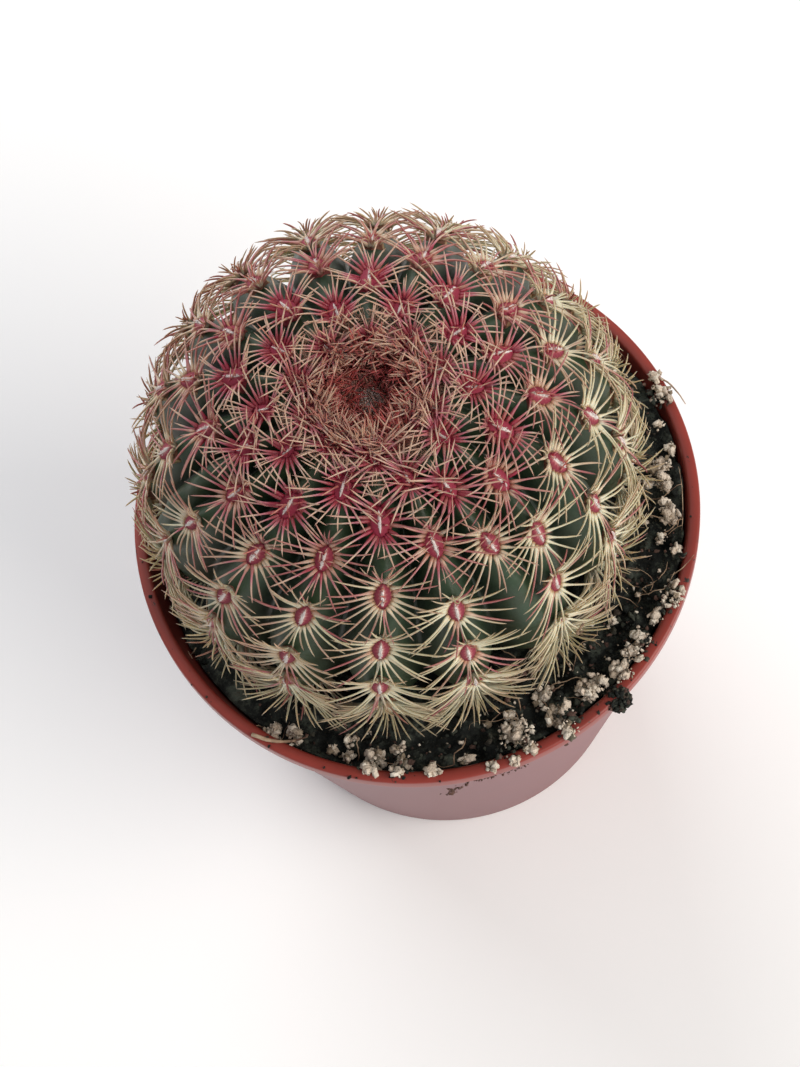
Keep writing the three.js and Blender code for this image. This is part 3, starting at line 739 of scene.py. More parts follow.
# Clumps of pumice: direction in degrees from +X, distance from the pot's axis and width, in mm.
PUMICE_CLUMPS = [
    (-135, 39, 1.6), (-130, 38, 1.8), (-121, 38, 1.0), (-118, 36, 1.3), (-117, 38.5, 1.2), (-111, 38, 1.8),
    (-111, 40.5, 1.4), (-106, 36.5, 1.4), (-105, 39, 2.0), (-105, 41, 1.2), (-98, 41, 1.4), (-91, 39.5, 1.2),
    (-86, 41.9, 1.3), (-82, 42, 1.2), (-79, 38, 3.1), (-78, 41, 1.6), (-79, 35, 0.8), (-69, 34.5, 1.8),
    (-69, 39, 2.5), (-69, 42, 1.4), (-61, 38.5, 2.3), (-58, 38.5, 1.8), (-53, 40, 2.1), (-48, 39.5, 2.0),
    (-45, 39.5, 1.8), (-43, 34, 0.9), (-39, 40, 1.4), (-34, 41, 2.0), (-31, 40, 1.2), (-23, 39.5, 1.0),
    (-20, 37, 1.2), (-15, 38, 1.6), (-12, 37.5, 1.5), (-7, 37.5, 1.8), (-3, 37, 2.2), (-6, 35, 1.4),
    (7, 39, 1.0), (1, 39.5, 1.2), (13, 41, 1.8), (17, 41.5, 1.3),
]  # fmt: skip
ON_LIP = 2.05 * MM  # grit lies on the lip from this far inside its outer edge


class AddPumice(bpy.types.Operator):
    """Strew pumice grit on the soil, in clusters and as single grains"""

    bl_idname = "cactus.add_pumice"
    bl_label = "Pumice grit"

    def execute(self, context):
        scene = context.scene
        pot, soil, plant = scene.cactus_pot, scene.cactus_soil, scene.cactus_plant
        draw = np.random.default_rng(5)
        x, y = soil_ring(pot, plant, draw, soil.grains, 0.7)
        size = np.clip(draw.lognormal(-1.6, 0.45, len(x)), 0.12, 0.5) * MM
        pile = np.zeros(len(x))
        for turn, away, width in PUMICE_CLUMPS:
            count = int(18 * width**2) + 5
            middle = from_right(away * MM, math.radians(turn), 0)
            off = np.clip(draw.normal(0, 1, (3, count)), -2.3, 2.3) * width * MM / 3
            x, y = np.r_[x, middle[0] + off[0]], np.r_[y, middle[1] + off[1]]
            pile = np.r_[pile, np.abs(off[2])]
            fine = np.clip(draw.lognormal(-1.6, 0.4, count), 0.1, 0.5)
            size = np.r_[size, np.where(draw.random(count) < 0.14, draw.uniform(0.4, 0.75, count), fine) * MM]
        # None lies in the wall: it is pushed inward, or up on to the lip.
        away = np.hypot(x, y)
        on_lip = away > pot.lip_radius - ON_LIP
        reach = np.where(on_lip, pot.lip_radius + 0.2 * MM, inner_radius(pot, GRIT_LEVEL) - size)
        inward = np.minimum(1, reach / away)
        x, y = x * inward, y * inward
        z = soil_height(pot, soil, x, y) + size * draw.uniform(0.2, 0.9, len(x)) + 0.4 * MM + pile
        z = np.where(on_lip, pot.height + 0.4 * size + 0.6 * pile, np.minimum(z, pot.height + 0.3 * MM))
        shade = np.clip(draw.normal(0.66, 0.25, len(size)), 0, 1)
        places = np.stack([x, y, z], axis=-1)
        grains("pumice_grit", places, size, shade, 6, made_of("crushed_pumice", pumice, soil))
        return {"FINISHED"}


def pumice(tree, soil):
    """Crushed pumice: chalky cream, full of pores, stained where peat has worked into it."""
    place = node(tree, "TexCoord").outputs["Object"]
    shade = node(tree, "Attribute", attribute_name="shade").outputs["Fac"]
    tones = [(0, "#5a5a4c"), (0.3, rgba(soil.pumice_stain)), (0.6, rgba(soil.pumice)), (1, "#e2d8c8")]
    tone = node(tree, "ValToRGB", [shade], tones)
    # Pores of about 0.3 mm.
    pores = node(tree, "TexVoronoi", {"Vector": place, "Scale": 3200})
    stain = node(tree, "TexNoise", {"Vector": place, "Scale": 900, "Detail": 4})
    # Painted shade: the colour is darker towards the middle of each pore, where the bump sinks.
    painted_pore_shade = node(tree, "MapRange", [pores, 0.05, 0.4, 0.75, 1.1])
    blot = node(tree, "MapRange", [stain, 0.3, 0.6, 0.75, 1.05])
    value = node(tree, "Math", [painted_pore_shade, blot], operation="MULTIPLY")
    tone = node(tree, "HueSaturation", {"Color": tone, "Value": value})
    bump = node(tree, "Bump", {"Height": pores, "Strength": 0.8, "Distance": 0.2 * MM})
    return {"Base Color": tone, "Roughness": 0.88, "Normal": bump}


ROOTLETS, ROOTLET_RINGS, ROOTLET_SIDES = 60, 14, 5
# Longer ones lie over the lip: two at the right and a thick one at the front left, in mm.
LONG_ROOTS = [
    [(33.5, -18.6, 69.9), (35, -18.9, 71), (36.4, -18.6, 72), (37.6, -17.9, 72.5), (38.6, -17, 72.2)],
    [(38.6, 13.4, 69.5), (40.4, 12.2, 71.6), (41.6, 10.4, 72.6), (42.6, 8.2, 72.7), (43.2, 6.8, 71.9)],
    [(-30.3, -29.2, 72.3), (-28.2, -30.6, 72.4), (-26.2, -31.2, 71.8),
     (-24.3, -31.1, 70.8), (-22.6, -30.6, 69.8)],
]  # fmt: skip
LONG_RADII = (0.09, 0.16, 0.3, 0.2)  # of the longer ones and of the curled scrap, mm
SCRAP_RIB, SCRAP_POLAR = 3, 86.0  # the areole in whose spines a scrap has caught


class AddRootlets(bpy.types.Operator):
    """Lay dry root fibres on the soil and over the lip"""

    bl_idname = "cactus.add_rootlets"
    bl_label = "Root fibres"

    def execute(self, context):
        scene = context.scene
        pot, soil, plant = scene.cactus_pot, scene.cactus_soil, scene.cactus_plant
        draw = np.random.default_rng(31)
        x, y = soil_ring(pot, plant, draw, ROOTLETS, 0.5)
        count, rings = len(x), ROOTLET_RINGS
        step = draw.uniform(0.3, 0.9, count) * MM
        heading = draw.uniform(0, 2 * np.pi, count)[:, None]
        heading = heading + np.cumsum(draw.normal(0, 0.35, (count, rings)), axis=1)
        px = x[:, None] + np.cumsum(np.cos(heading), axis=1) * step[:, None]
        py = y[:, None] + np.cumsum(np.sin(heading), axis=1) * step[:, None]
        inward = np.minimum(1, (inner_radius(pot, GRIT_LEVEL) - 0.3 * MM) / np.hypot(px, py))
        px, py = px * inward, py * inward
        arch = np.sin(np.linspace(0, np.pi, rings)) * draw.uniform(0.3, 1.6, (count, 1)) * MM
        paths = np.stack([px, py, soil_height(pot, soil, px, py) + 0.4 * MM + arch], axis=-1)
        knots = np.linspace(0, len(LONG_ROOTS[0]) - 1, rings)
        longer = [[np.interp(knots, range(len(line)), axis) for axis in zip(*line)] for line in LONG_ROOTS]
        curl = np.linspace(0, 5.2, rings)
        local = np.stack([0.5 + 0.8 * np.cos(curl), 0.8 + 0.7 * np.sin(curl), 2.9 + 0.12 * curl], axis=-1)
        frames = areole_frames(plant, np.array([SCRAP_RIB]), np.array([SCRAP_POLAR]))
        scrap = on_areoles(plant, frames, local[None] * MM)
        paths = np.concatenate([paths, np.array(longer).transpose(0, 2, 1) * MM, scrap])
        radius = np.r_[draw.uniform(0.05, 0.11, count), LONG_RADII] * MM
        taper = 1 - 0.6 * np.linspace(0, 1, rings) ** 2
        fibres = tubes(paths, radius[:, None] * taper, ROOTLET_SIDES)
        mesh_piece("root_fibres", *fibres, made_of("dry_root_fibre", dry_root), "soil")
        return {"FINISHED"}


def dry_root(tree):
    """Dead fine roots: dull tan with darker lengths."""
    place = node(tree, "TexCoord").outputs["Object"]
    blotch = node(tree, "TexNoise", {"Vector": place, "Scale": 500, "Detail": 3})
    tones = [(0.35, "#4b3327"), (0.55, "#a98d73"), (0.75, "#c9b59a")]
    return {"Base Color": node(tree, "ValToRGB", [blotch], tones), "Roughness": 0.8}


# ---------------------------------------------------------------- stem

RIB_COLUMNS, SKIN_ROWS = 20, 175
SKIN_START, SKIN_END = 0.3, 131  # polar angles between which the skin is ribbed
ROOT = [(21, -26), (14, -30.5), (9, -35), (7, -43), (3.5, -47), (0.4, -48)]  # radius and height, mm


class AddStem(bpy.types.Operator):
    """Grow the ribbed globe, from the sunken crown to the root neck in the soil"""

    bl_idname = "cactus.add_stem"
    bl_label = "Ribbed stem"

    def execute(self, context):
        plant = context.scene.cactus_plant
        column = np.arange(RIBS * RIB_COLUMNS)
        rib, across = column // RIB_COLUMNS, (column % RIB_COLUMNS) / RIB_COLUMNS
        polar = np.linspace(SKIN_START, SKIN_END, SKIN_ROWS)[:, None]
        turn = np.radians(mix(crest_turn(rib, SKIN_END), crest_turn(rib + 1, SKIN_END), across))
        root = [from_front(radius, turn, height) * MM for radius, height in ROOT]
        spots = np.concatenate([stem_point(plant, rib, across, polar), root])
        bare = np.zeros((len(ROOT), len(column)))
        marks = {
            "furrow": np.concatenate([furrow_depth(rib, across, polar), bare]),
            "age": np.concatenate([polar + 0 * turn, bare + SKIN_END]) / SKIN_END,
        }
        faces = tube_faces(len(spots), len(column))
        skin = made_of("waxy_cactus_skin", waxy_skin, plant)
        mesh_piece("stem_skin", stand(plant, spots.reshape(-1, 3)), faces, skin, "cactus", marks)
        return {"FINISHED"}


def waxy_skin(tree, plant):
    """Living cuticle: dark green, smooth and a little glossy, with grey-green wax rubbed off in patches."""
    place = node(tree, "TexCoord").outputs["Object"]
    patches = node(tree, "TexNoise", {"Vector": place, "Scale": 160, "Detail": 5, "Roughness": 0.6})
    wax = node(tree, "MapRange", [patches, 0.45, 0.68, 0, 0.55])
    tone = node(tree, "Mix", {"Factor": wax, 6: rgba(plant.skin), 7: rgba(plant.wax)}, data_type="RGBA")
    furrow = node(tree, "Attribute", attribute_name="furrow").outputs["Fac"]
    # Painted shade: the skin is darkened towards the furrow colour the deeper the furrow is.
    painted_furrow_shade = node(tree, "MapRange", [furrow, 0.05, 0.75, 0, 0.85])
    tone = node(tree, "Mix", {"Factor": painted_furrow_shade, 6: tone, 7: rgba(plant.shade)}, data_type="RGBA")
    age = node(tree, "Attribute", attribute_name="age").outputs["Fac"]
    newest = node(tree, "MapRange", [age, 0.1, 0.14, 1, 0])
    tone = node(tree, "Mix", {"Factor": newest, 6: tone, 7: rgba("#8c5148")}, data_type="RGBA")
    # Breathing pores and cell texture, about 0.2 mm apart.
    cells = node(tree, "TexVoronoi", {"Vector": place, "Scale": 5000})
    bump = node(tree, "Bump", {"Height": cells, "Strength": 0.18, "Distance": 0.05 * MM})
    return {
        "Base Color": tone,
        "Roughness": node(tree, "MapRange", [wax, 0, 1, 0.4, 0.6]),
        "IOR": 1.4,
        "Coat Weight": 0.06,
        "Coat Roughness": 0.3,
        "Normal": bump,
    }


# ---------------------------------------------------------------- areoles

# Rings of a pad from its slit (0) to its rim (1) and down into the rib, and their height over the crest, mm.
PAD_RINGS = np.array([0.0, 0.05, 0.1, 0.35, 0.55, 0.68, 0.76, 0.84, 0.93])
PAD_HEIGHTS = np.array([0.74, 0.7, 0.62, 0.62, 0.58, 0.48, 0.24, -0.12, -0.6])
PAD_SIDES = 36
CRIMSON_EDGE = 0.68  # share of a pad inside the ring of spine roots
RIDGE, RIDGE_START = 0.07, 0.3  # height in mm of what the spine roots press up, and the ring where it starts
RIB_FALL = 0.16  # how far a rib falls away to the side of its crest, mm per square mm
SLIT_WIDTH, SLIT_SHARE = 0.06, 0.56  # half width in mm, and length as a share of the pad
TIP_PRESSED, END_PRESSED = 1.5, 0.5  # how much flatter a pad is at its crownward tip and at its lower end
TIP_DIP = 5  # how steeply its crownward rim dips, in mm for the whole pad
AREOLE_SEED = 3
WOOL_HAIRS, HAIR_RINGS, HAIR_SIDES = 60, 4, 3


class AddAreoles(bpy.types.Operator):
    """Set an almond pad with a slit of white wool on every node of the ribs"""

    bl_idname = "cactus.add_areoles"
    bl_label = "Areoles"

    def execute(self, context):
        scene = context.scene
        plant, spine = scene.cactus_plant, scene.cactus_spines
        draw = np.random.default_rng(AREOLE_SEED)
        rib, polar = areoles(draw)
        frames = areole_frames(plant, rib, polar)
        scale = pad_scale(plant, rib, polar)[:, None, None, None]
        turn = 2 * np.pi * np.arange(PAD_SIDES) / PAD_SIDES
        ring, height = PAD_RINGS[:, None], PAD_HEIGHTS[:, None] * MM
        wide, tall = almond(turn)
        x = mix(SLIT_WIDTH * MM, spine.pad_width / 2, ring) * wide
        # Towards the crown a pad ends at its crimson felt, which dips into the rib there.
        past = np.maximum(0, ring - CRIMSON_EDGE) * ramp(np.cos(turn), -0.1, 0.6)
        y = mix(SLIT_SHARE, 1, ring - 0.75 * past) * tall * spine.pad_height / 2
        flatter = 1 - np.where(np.cos(turn) > 0, TIP_PRESSED, END_PRESSED) * ring * np.cos(turn) ** 4
        # The roots of the spines press ridges into the felt.
        ridge = (ring > RIDGE_START) * np.where(np.arange(PAD_SIDES) % 2, 1, -1)
        lift = np.minimum(height * flatter, height) + RIDGE * MM * ridge - RIB_FALL * x**2 / MM
        lift = lift - TIP_DIP * MM * past
        local = np.stack([x, y, lift], axis=-1)[None] * scale
        # The brown end of the felt takes in the whole side that faces the crown.
        crown_side = ramp(ring, 0.62, 0.76) * ramp(np.cos(turn), -0.1, 0.4)
        brown = np.maximum(mix(SLIT_SHARE, 1, ring) * np.cos(turn), crown_side)
        count, corners = len(rib), len(PAD_RINGS) * PAD_SIDES
        marks = {
            "out": np.tile((ring + RIDGE * ridge).ravel(), count),
            "crownward": np.tile(brown.ravel(), count),
            "young": np.repeat(1 - ramp(polar, 26, 50), corners),
        }
        faces = turned_over(tube_faces(len(PAD_RINGS), PAD_SIDES, count))
        felt = made_of("matted_areole_felt", areole_felt, spine)
        mesh_piece("areole_pads", on_areoles(plant, frames, local), faces, felt, "cactus", marks)
        add_wool(plant, spine, draw, frames, scale, polar)
        return {"FINISHED"}


def almond(turn):
    """Outline of an areole by the angle from its crownward tip: pointed there and rounder below."""
    sharp = mix(0.35, 0.95, ramp(np.cos(turn), -0.3, 0.4))
    return np.sin(turn) * np.abs(np.sin(turn)) ** sharp, np.cos(turn)


def add_wool(plant, spine, draw, frames, scale, polar):
    """A ridge of short white hairs along the slit of every areole."""
    shape = (len(polar), WOOL_HAIRS)
    along = draw.uniform(-1, 1, shape)
    # A grown areole's wool is widest at its lower end, a young one's is a thin line.
    grown = ramp(polar, 22, 50)[:, None]
    narrow = (1 - np.abs(along) ** 2.5) * mix(0.6, 1.05 - 0.5 * along, grown)
    x = draw.normal(0, 0.12, shape) * MM * narrow
    y = along * SLIT_SHARE * spine.pad_height / 2
    lean = draw.normal(0, 0.13, (*shape, 2)) * MM * mix(0.6, 1, grown)[..., None]
    tall = draw.uniform(0.16, 0.42, shape) * MM * (0.55 + 0.45 * narrow)
    t = np.linspace(0, 1, HAIR_RINGS)
    px = x[..., None] + lean[..., :1] * t**2 + draw.normal(0, 0.03, (*shape, HAIR_RINGS)) * MM
    py = y[..., None] + lean[..., 1:] * 1.6 * t**2
    pz = 0.56 * MM + tall[..., None] * (0.2 + t)
    paths = on_areoles(plant, frames, np.stack([px, py, pz], axis=-1) * scale)
    hair_piece("areole_wool", spine, paths, 0.055 * MM * (1 - 0.4 * t), 0.5 * ramp(along, 0.7, 1))


def hair_piece(name, spine, paths, radii, stain):
    """Fine hairs along their centre lines, each stained from white (0) to reddish brown (1)."""
    paths = paths.reshape(-1, HAIR_RINGS, 3)
    hairs = tubes(paths, np.broadcast_to(radii, paths.shape[:2]), HAIR_SIDES)
    marks = {"stain": np.repeat(stain.ravel(), HAIR_RINGS * HAIR_SIDES)}
    mesh_piece(name, *hairs, made_of("plant_wool", white_wool, spine), "cactus", marks)


def areole_felt(tree, spine):
    """Matted hairs: crimson between the spine roots, straw at the rim and brown towards the crown. The
    felt of young areoles is crimson all over."""
    place = node(tree, "TexCoord").outputs["Object"]
    out, crownward, young = (
        node(tree, "Attribute", attribute_name=mark).outputs["Fac"] for mark in ("out", "crownward", "young")
    )
    tones = [
        (0.05, rgba(spine.wool)), (0.1, "#bd8480"), (0.3, "#943444"), (0.6, "#782334"), (0.7, "#a8735c"),
        (0.78, "#c0a47a"), (0.95, "#8f7d58"),
    ]  # fmt: skip
    tone = node(tree, "ValToRGB", [out], tones)
    tip = node(tree, "MapRange", [crownward, 0.66, 0.86, 0, 0.92])
    tone = node(tree, "Mix", {"Factor": tip, 6: tone, 7: rgba(spine.brown)}, data_type="RGBA")
    rim = node(tree, "MapRange", [out, 0.06, 0.12, 0, 0.9])
    still_red = node(tree, "Math", [young, rim], operation="MULTIPLY")
    tone = node(tree, "Mix", {"Factor": still_red, 6: tone, 7: rgba(spine.crimson)}, data_type="RGBA")
    felt = node(tree, "TexNoise", {"Vector": place, "Scale": 6000, "Detail": 3})
    bump = node(tree, "Bump", {"Height": felt, "Strength": 0.7, "Distance": 0.1 * MM})
    return {"Base Color": tone, "Roughness": 0.75, "Normal": bump}


def white_wool(tree, spine):
    """Fine white hairs, stained tan and then reddish brown by age and dust."""
    stain = node(tree, "Attribute", attribute_name="stain").outputs["Fac"]
    tones = [(0, rgba(spine.wool)), (0.5, "#b5917a"), (0.8, "#bd8b7d"), (1, "#a5625a")]
    return {"Base Color": node(tree, "ValToRGB", [stain], tones), "Roughness": 0.8}


# ---------------------------------------------------------------- spines

# Radial spines: angle from the way to the crown, and how far the tip reaches and stands off, in mm.
SPINE_ANGLES = (26, 60, 90, 120, 154)
SPINE_REACH = (6.6, 7.7, 8.4, 8.7, 7.6)
SPINE_HEIGHT = (2.7, 2.3, 1.8, 1.7, 1.5)
COMB, END_SPINES = (16, 165), (0, 9, -9, 176, 187)  # angles of the combed spines, and of those at both ends
BANDS = {"spines_upper": (0, 45), "spines_waist": (45, 84), "spines_lower": (84, 180)}  # polar angles
SPINE_RINGS, SPINE_SIDES = 10, 5
BLUSHED_SIDE = 230  # direction in degrees from the front to which the spines are reddest and lie closest
TINTS, CHART_ROW = 24, 0.6  # rows of the spines' colour chart, and the share of a row that a spine takes
CHART_ENDS, CHART_END_WIDTH = (0.01, 0.985), 0.004  # where the two end faces lie along the chart
SPINE_TAPER = ((0, 0.6, 0.88, 1), (1, 0.88, 0.62, 0.1))  # thickness along a spine, in shares of both
ROOT_SWELL, ROOT_SPAN = 1.0, (0.06, 0.22)  # how much thicker a spine's root is, and where that ends
SKIRT_SPINES, ERECT_SPINES = 20, 5  # to an areole


def spine_piece(name, spine, paths, thickness, tint, root=1.0):
    """Spines along their centre lines. Each takes its colours from one row of the colour chart. root is
    how much longer its swollen root is than usual."""
    paths = paths.reshape(-1, SPINE_RINGS, 3)
    thickness, tint, root = (np.reshape(value, (-1, 1)) for value in (thickness, tint, root))
    steps = np.linalg.norm(np.diff(paths, axis=1), axis=-1)
    travelled = np.concatenate([np.zeros((len(paths), 1)), np.cumsum(steps, axis=1)], axis=1)
    share = travelled / travelled[:, -1:]
    swell = ROOT_SWELL * (1 - ramp(share / root, *ROOT_SPAN))
    radii = (np.interp(share, *SPINE_TAPER) + swell) * thickness / 2
    row = (np.clip(tint * TINTS, 0, TINTS - 1).astype(int) + 0.5) / TINTS
    # Corners of the wall faces in the order of tube_faces, then those of the two end faces.
    ring, side = (grid.reshape(-1, 1) for grid in np.mgrid[: SPINE_RINGS - 1, :SPINE_SIDES])
    ring, side, rim = (ring + [0, 1, 1, 0]).ravel(), (side + [0, 0, 1, 1]).ravel(), np.arange(SPINE_SIDES)
    corners = [(0.01 + 0.98 * share[:, ring], side)]
    corners += [(end + CHART_END_WIDTH * (rim % 2), rim) for end in CHART_ENDS]
    uv = []
    for along, beside in corners:
        across = row + (beside / SPINE_SIDES - 0.5) * CHART_ROW / TINTS
        uv.append(np.stack(np.broadcast_arrays(along, across), axis=-1).reshape(-1, 2))
    horn = made_of("hard_spine_wood", spine_horn, spine)
    mesh_piece(name, *tubes(paths, radii, SPINE_SIDES), horn, "cactus", uv=np.concatenate(uv))


def bend(start, middle, end, rings=SPINE_RINGS):
    """Centre lines that leave start towards middle and arrive at end."""
    t = np.linspace(0, 1, rings)[:, None] ** 1.15
    start, middle, end = start[..., None, :], middle[..., None, :], end[..., None, :]
    return (1 - t) ** 2 * start + 2 * t * (1 - t) * middle + t**2 * end


def rooted(plant, frames, foot, middle, tip):
    """Centre lines of spines, given in mm in the areoles' frames, brought to where they stand."""
    return on_areoles(plant, frames, bend(foot * MM, middle * MM, tip * MM))


def facing(direction, towards=0):
    """1 on the side of the plant that lies towards a direction in degrees from the front, 0 opposite."""
    return 0.5 + 0.5 * np.cos(np.radians(direction - towards))


class AddSpines(bpy.types.Operator):
    """Comb the radial spines out of every areole"""

    bl_idname = "cactus.add_spines"
    bl_label = "Radial spines"

    def execute(self, context):
        scene = context.scene
        plant, spine = scene.cactus_plant, scene.cactus_spines
        rib, polar = areoles(np.random.default_rng(AREOLE_SEED))
        draw = np.random.default_rng(41)
        frames = areole_frames(plant, rib, polar)
        direction = crest_turn(rib, polar)
        comb = np.linspace(*COMB, spine.per_side)
        angle = np.concatenate([comb, -comb, END_SPINES])
        shape = (len(rib), len(angle))
        angle = angle + draw.normal(0, 2.6, shape)
        turn = np.radians(angle)
        # How far a spine turns off the way to the crown. Those at both ends of an areole are thin and short.
        off = np.minimum(np.abs(angle), 360 - np.abs(angle))
        thin = (off < 12) | (off > 171)
        # From here on what holds for a whole areole is a column.
        scale = pad_scale(plant, rib, polar)[:, None]
        high = polar[:, None]
        young = 1 - ramp(high, 14, 50)
        reach = np.interp(off, SPINE_ANGLES, SPINE_REACH) * (1 - 0.2 * young) * draw.normal(1, 0.055, shape)
        reach *= np.where(thin, 0.76, 1)
        reach *= mix(1, 1.1, ramp(high, 60, 84))
        height = np.interp(off, SPINE_ANGLES, SPINE_HEIGHT) + 1.8 * young * draw.random(shape)
        height += draw.normal(0, 0.35, shape) + np.where(np.arange(shape[1]) % 2, 0.3, -0.3)
        # The lowest spines are pushed out by the soil, most at the front.
        front = facing(direction)[:, None]
        height += (0.9 + 1.7 * front) * ramp(high, 84, 112) * (1 - 0.8 * ramp(off, 105, 150))
        reach *= mix(0.84, 1, front)
        # On the side away from the light they lie closer to the stem.
        blushed = facing(direction, BLUSHED_SIDE)[:, None]
        height -= 0.8 * blushed * ramp(high, 35, 55)
        reach *= 1 - 0.06 * blushed
        wide, tall = almond(turn)
        wide = wide * CRIMSON_EDGE * spine.pad_width / 2 / MM * scale
        tall = tall * mix(SLIT_SHARE, 1, CRIMSON_EDGE) * spine.pad_height / 2 / MM * scale
        sunk = 0.26 * scale - RIB_FALL * wide**2 - 0.16 * ramp(np.cos(turn), 0.5, 1)
        foot = np.stack([wide, tall, sunk], axis=-1)
        tip = np.stack([np.sin(turn) * reach, np.cos(turn) * reach, height], axis=-1)
        middle = mix(foot, tip, 0.45)
        middle[..., 2] += 1.05 - 0.35 * blushed + draw.normal(0, 0.22, shape)
        middle[..., :2] += draw.normal(0, 0.18, (*shape, 2))
        paths = rooted(plant, frames, foot, middle, tip)
        thickness = spine.thickness * mix(1, 0.88, young) * draw.normal(1, 0.07, shape)
        thickness = thickness * np.where(thin, 0.8, 1)
        # The plant has coloured more on its back and left than on its front right.
        blush = 0.02 + 0.46 * (1 - ramp(high, 24, 54)) + 0.12 * blushed * (1 - ramp(high, 70, 100))
        tint = blush + draw.normal(0, 0.035, shape)
        rosy = (0.08 + 0.17 * blushed + 0.16 * ramp(off, 100, 150)) * (1 - 0.5 * ramp(high, 80, 100))
        tint += np.where(draw.random(shape) < rosy, 0.22, 0)
        tint = np.clip(tint, 0.01, 0.55)
        root = np.broadcast_to(mix(1.1, 1.9, 1 - ramp(high, 24, 52)), shape)
        for name, (top, bottom) in BANDS.items():
            chosen = (polar >= top) & (polar < bottom)
            spine_piece(name, spine, paths[chosen], thickness[chosen], tint[chosen], root[chosen])
        self.add_erect(plant, spine, draw, frames, polar)
        self.add_skirt(plant, spine, draw, frames, polar, direction)
        return {"FINISHED"}

    def add_skirt(self, plant, spine, draw, frames, polar, direction):
        """Old spines that lie close over each other round the foot of the plant."""
        low = polar > BANDS["spines_lower"][0]
        shape = (low.sum(), SKIRT_SPINES)
        angle = draw.uniform(55, 132, shape) * np.where(np.arange(SKIRT_SPINES) % 2, 1, -1)
        turn = np.radians(angle)
        reach = np.interp(np.abs(angle), SPINE_ANGLES, SPINE_REACH) * draw.uniform(0.8, 1.05, shape)
        pushed = 1.1 * facing(direction[low]) * ramp(polar[low], 84, 112)
        height = draw.uniform(0.1, 1.3, shape) + pushed[:, None]
        wide, tall = almond(turn)
        foot = np.stack([1.25 * wide, 2.1 * tall, 0.2 + 0 * turn], axis=-1)
        tip = np.stack([np.sin(turn) * reach, np.cos(turn) * reach, height], axis=-1)
        middle = mix(foot, tip, 0.5) + np.array([0, 0, 0.9])
        paths = rooted(plant, [part[low] for part in frames], foot, middle, tip)
        thickness = spine.thickness * draw.uniform(0.75, 0.95, shape)
        spine_piece("spines_skirt", spine, paths, thickness, draw.uniform(0.01, 0.12, shape))

    def add_erect(self, plant, spine, draw, frames, polar):
        """Short erect spines that cross over the middle of the youngest areoles."""
        young = polar < 50
        shape = (young.sum(), ERECT_SPINES)
        along = draw.uniform(-1.2, 1.4, shape)
        foot = np.stack([draw.normal(0, 0.35, shape), along, 0.5 + 0 * along], axis=-1)
        way = np.stack([draw.normal(0, 0.75, shape), draw.normal(0.35, 0.6, shape), 1 + 0 * along], axis=-1)
        shorter = (1.15 - 0.35 * ramp(polar[young], 20, 48))[:, None, None]
        tip = foot + unit(way) * draw.uniform(2.2, 4.6, (*shape, 1)) * shorter
        paths = rooted(plant, [part[young] for part in frames], foot, mix(foot, tip, 0.5), tip)
        thickness = spine.thickness * draw.uniform(0.5, 0.75, shape)
        spine_piece("spines_erect", spine, paths, thickness, draw.uniform(0.45, 0.98, shape))


CROWN_RIM = 13.6  # degrees from the axis out to which young spines crowd
GOLDEN_ANGLE = 137.5
BUDS, BUD_SPINES = 84, 14
TUFT, TUFT_HAIRS = 2.6, 400  # degrees from the axis out to which the felt is pale, and how many hairs it has
FELT, FELT_HAIRS = 20, 3400  # the same for the red felt round it


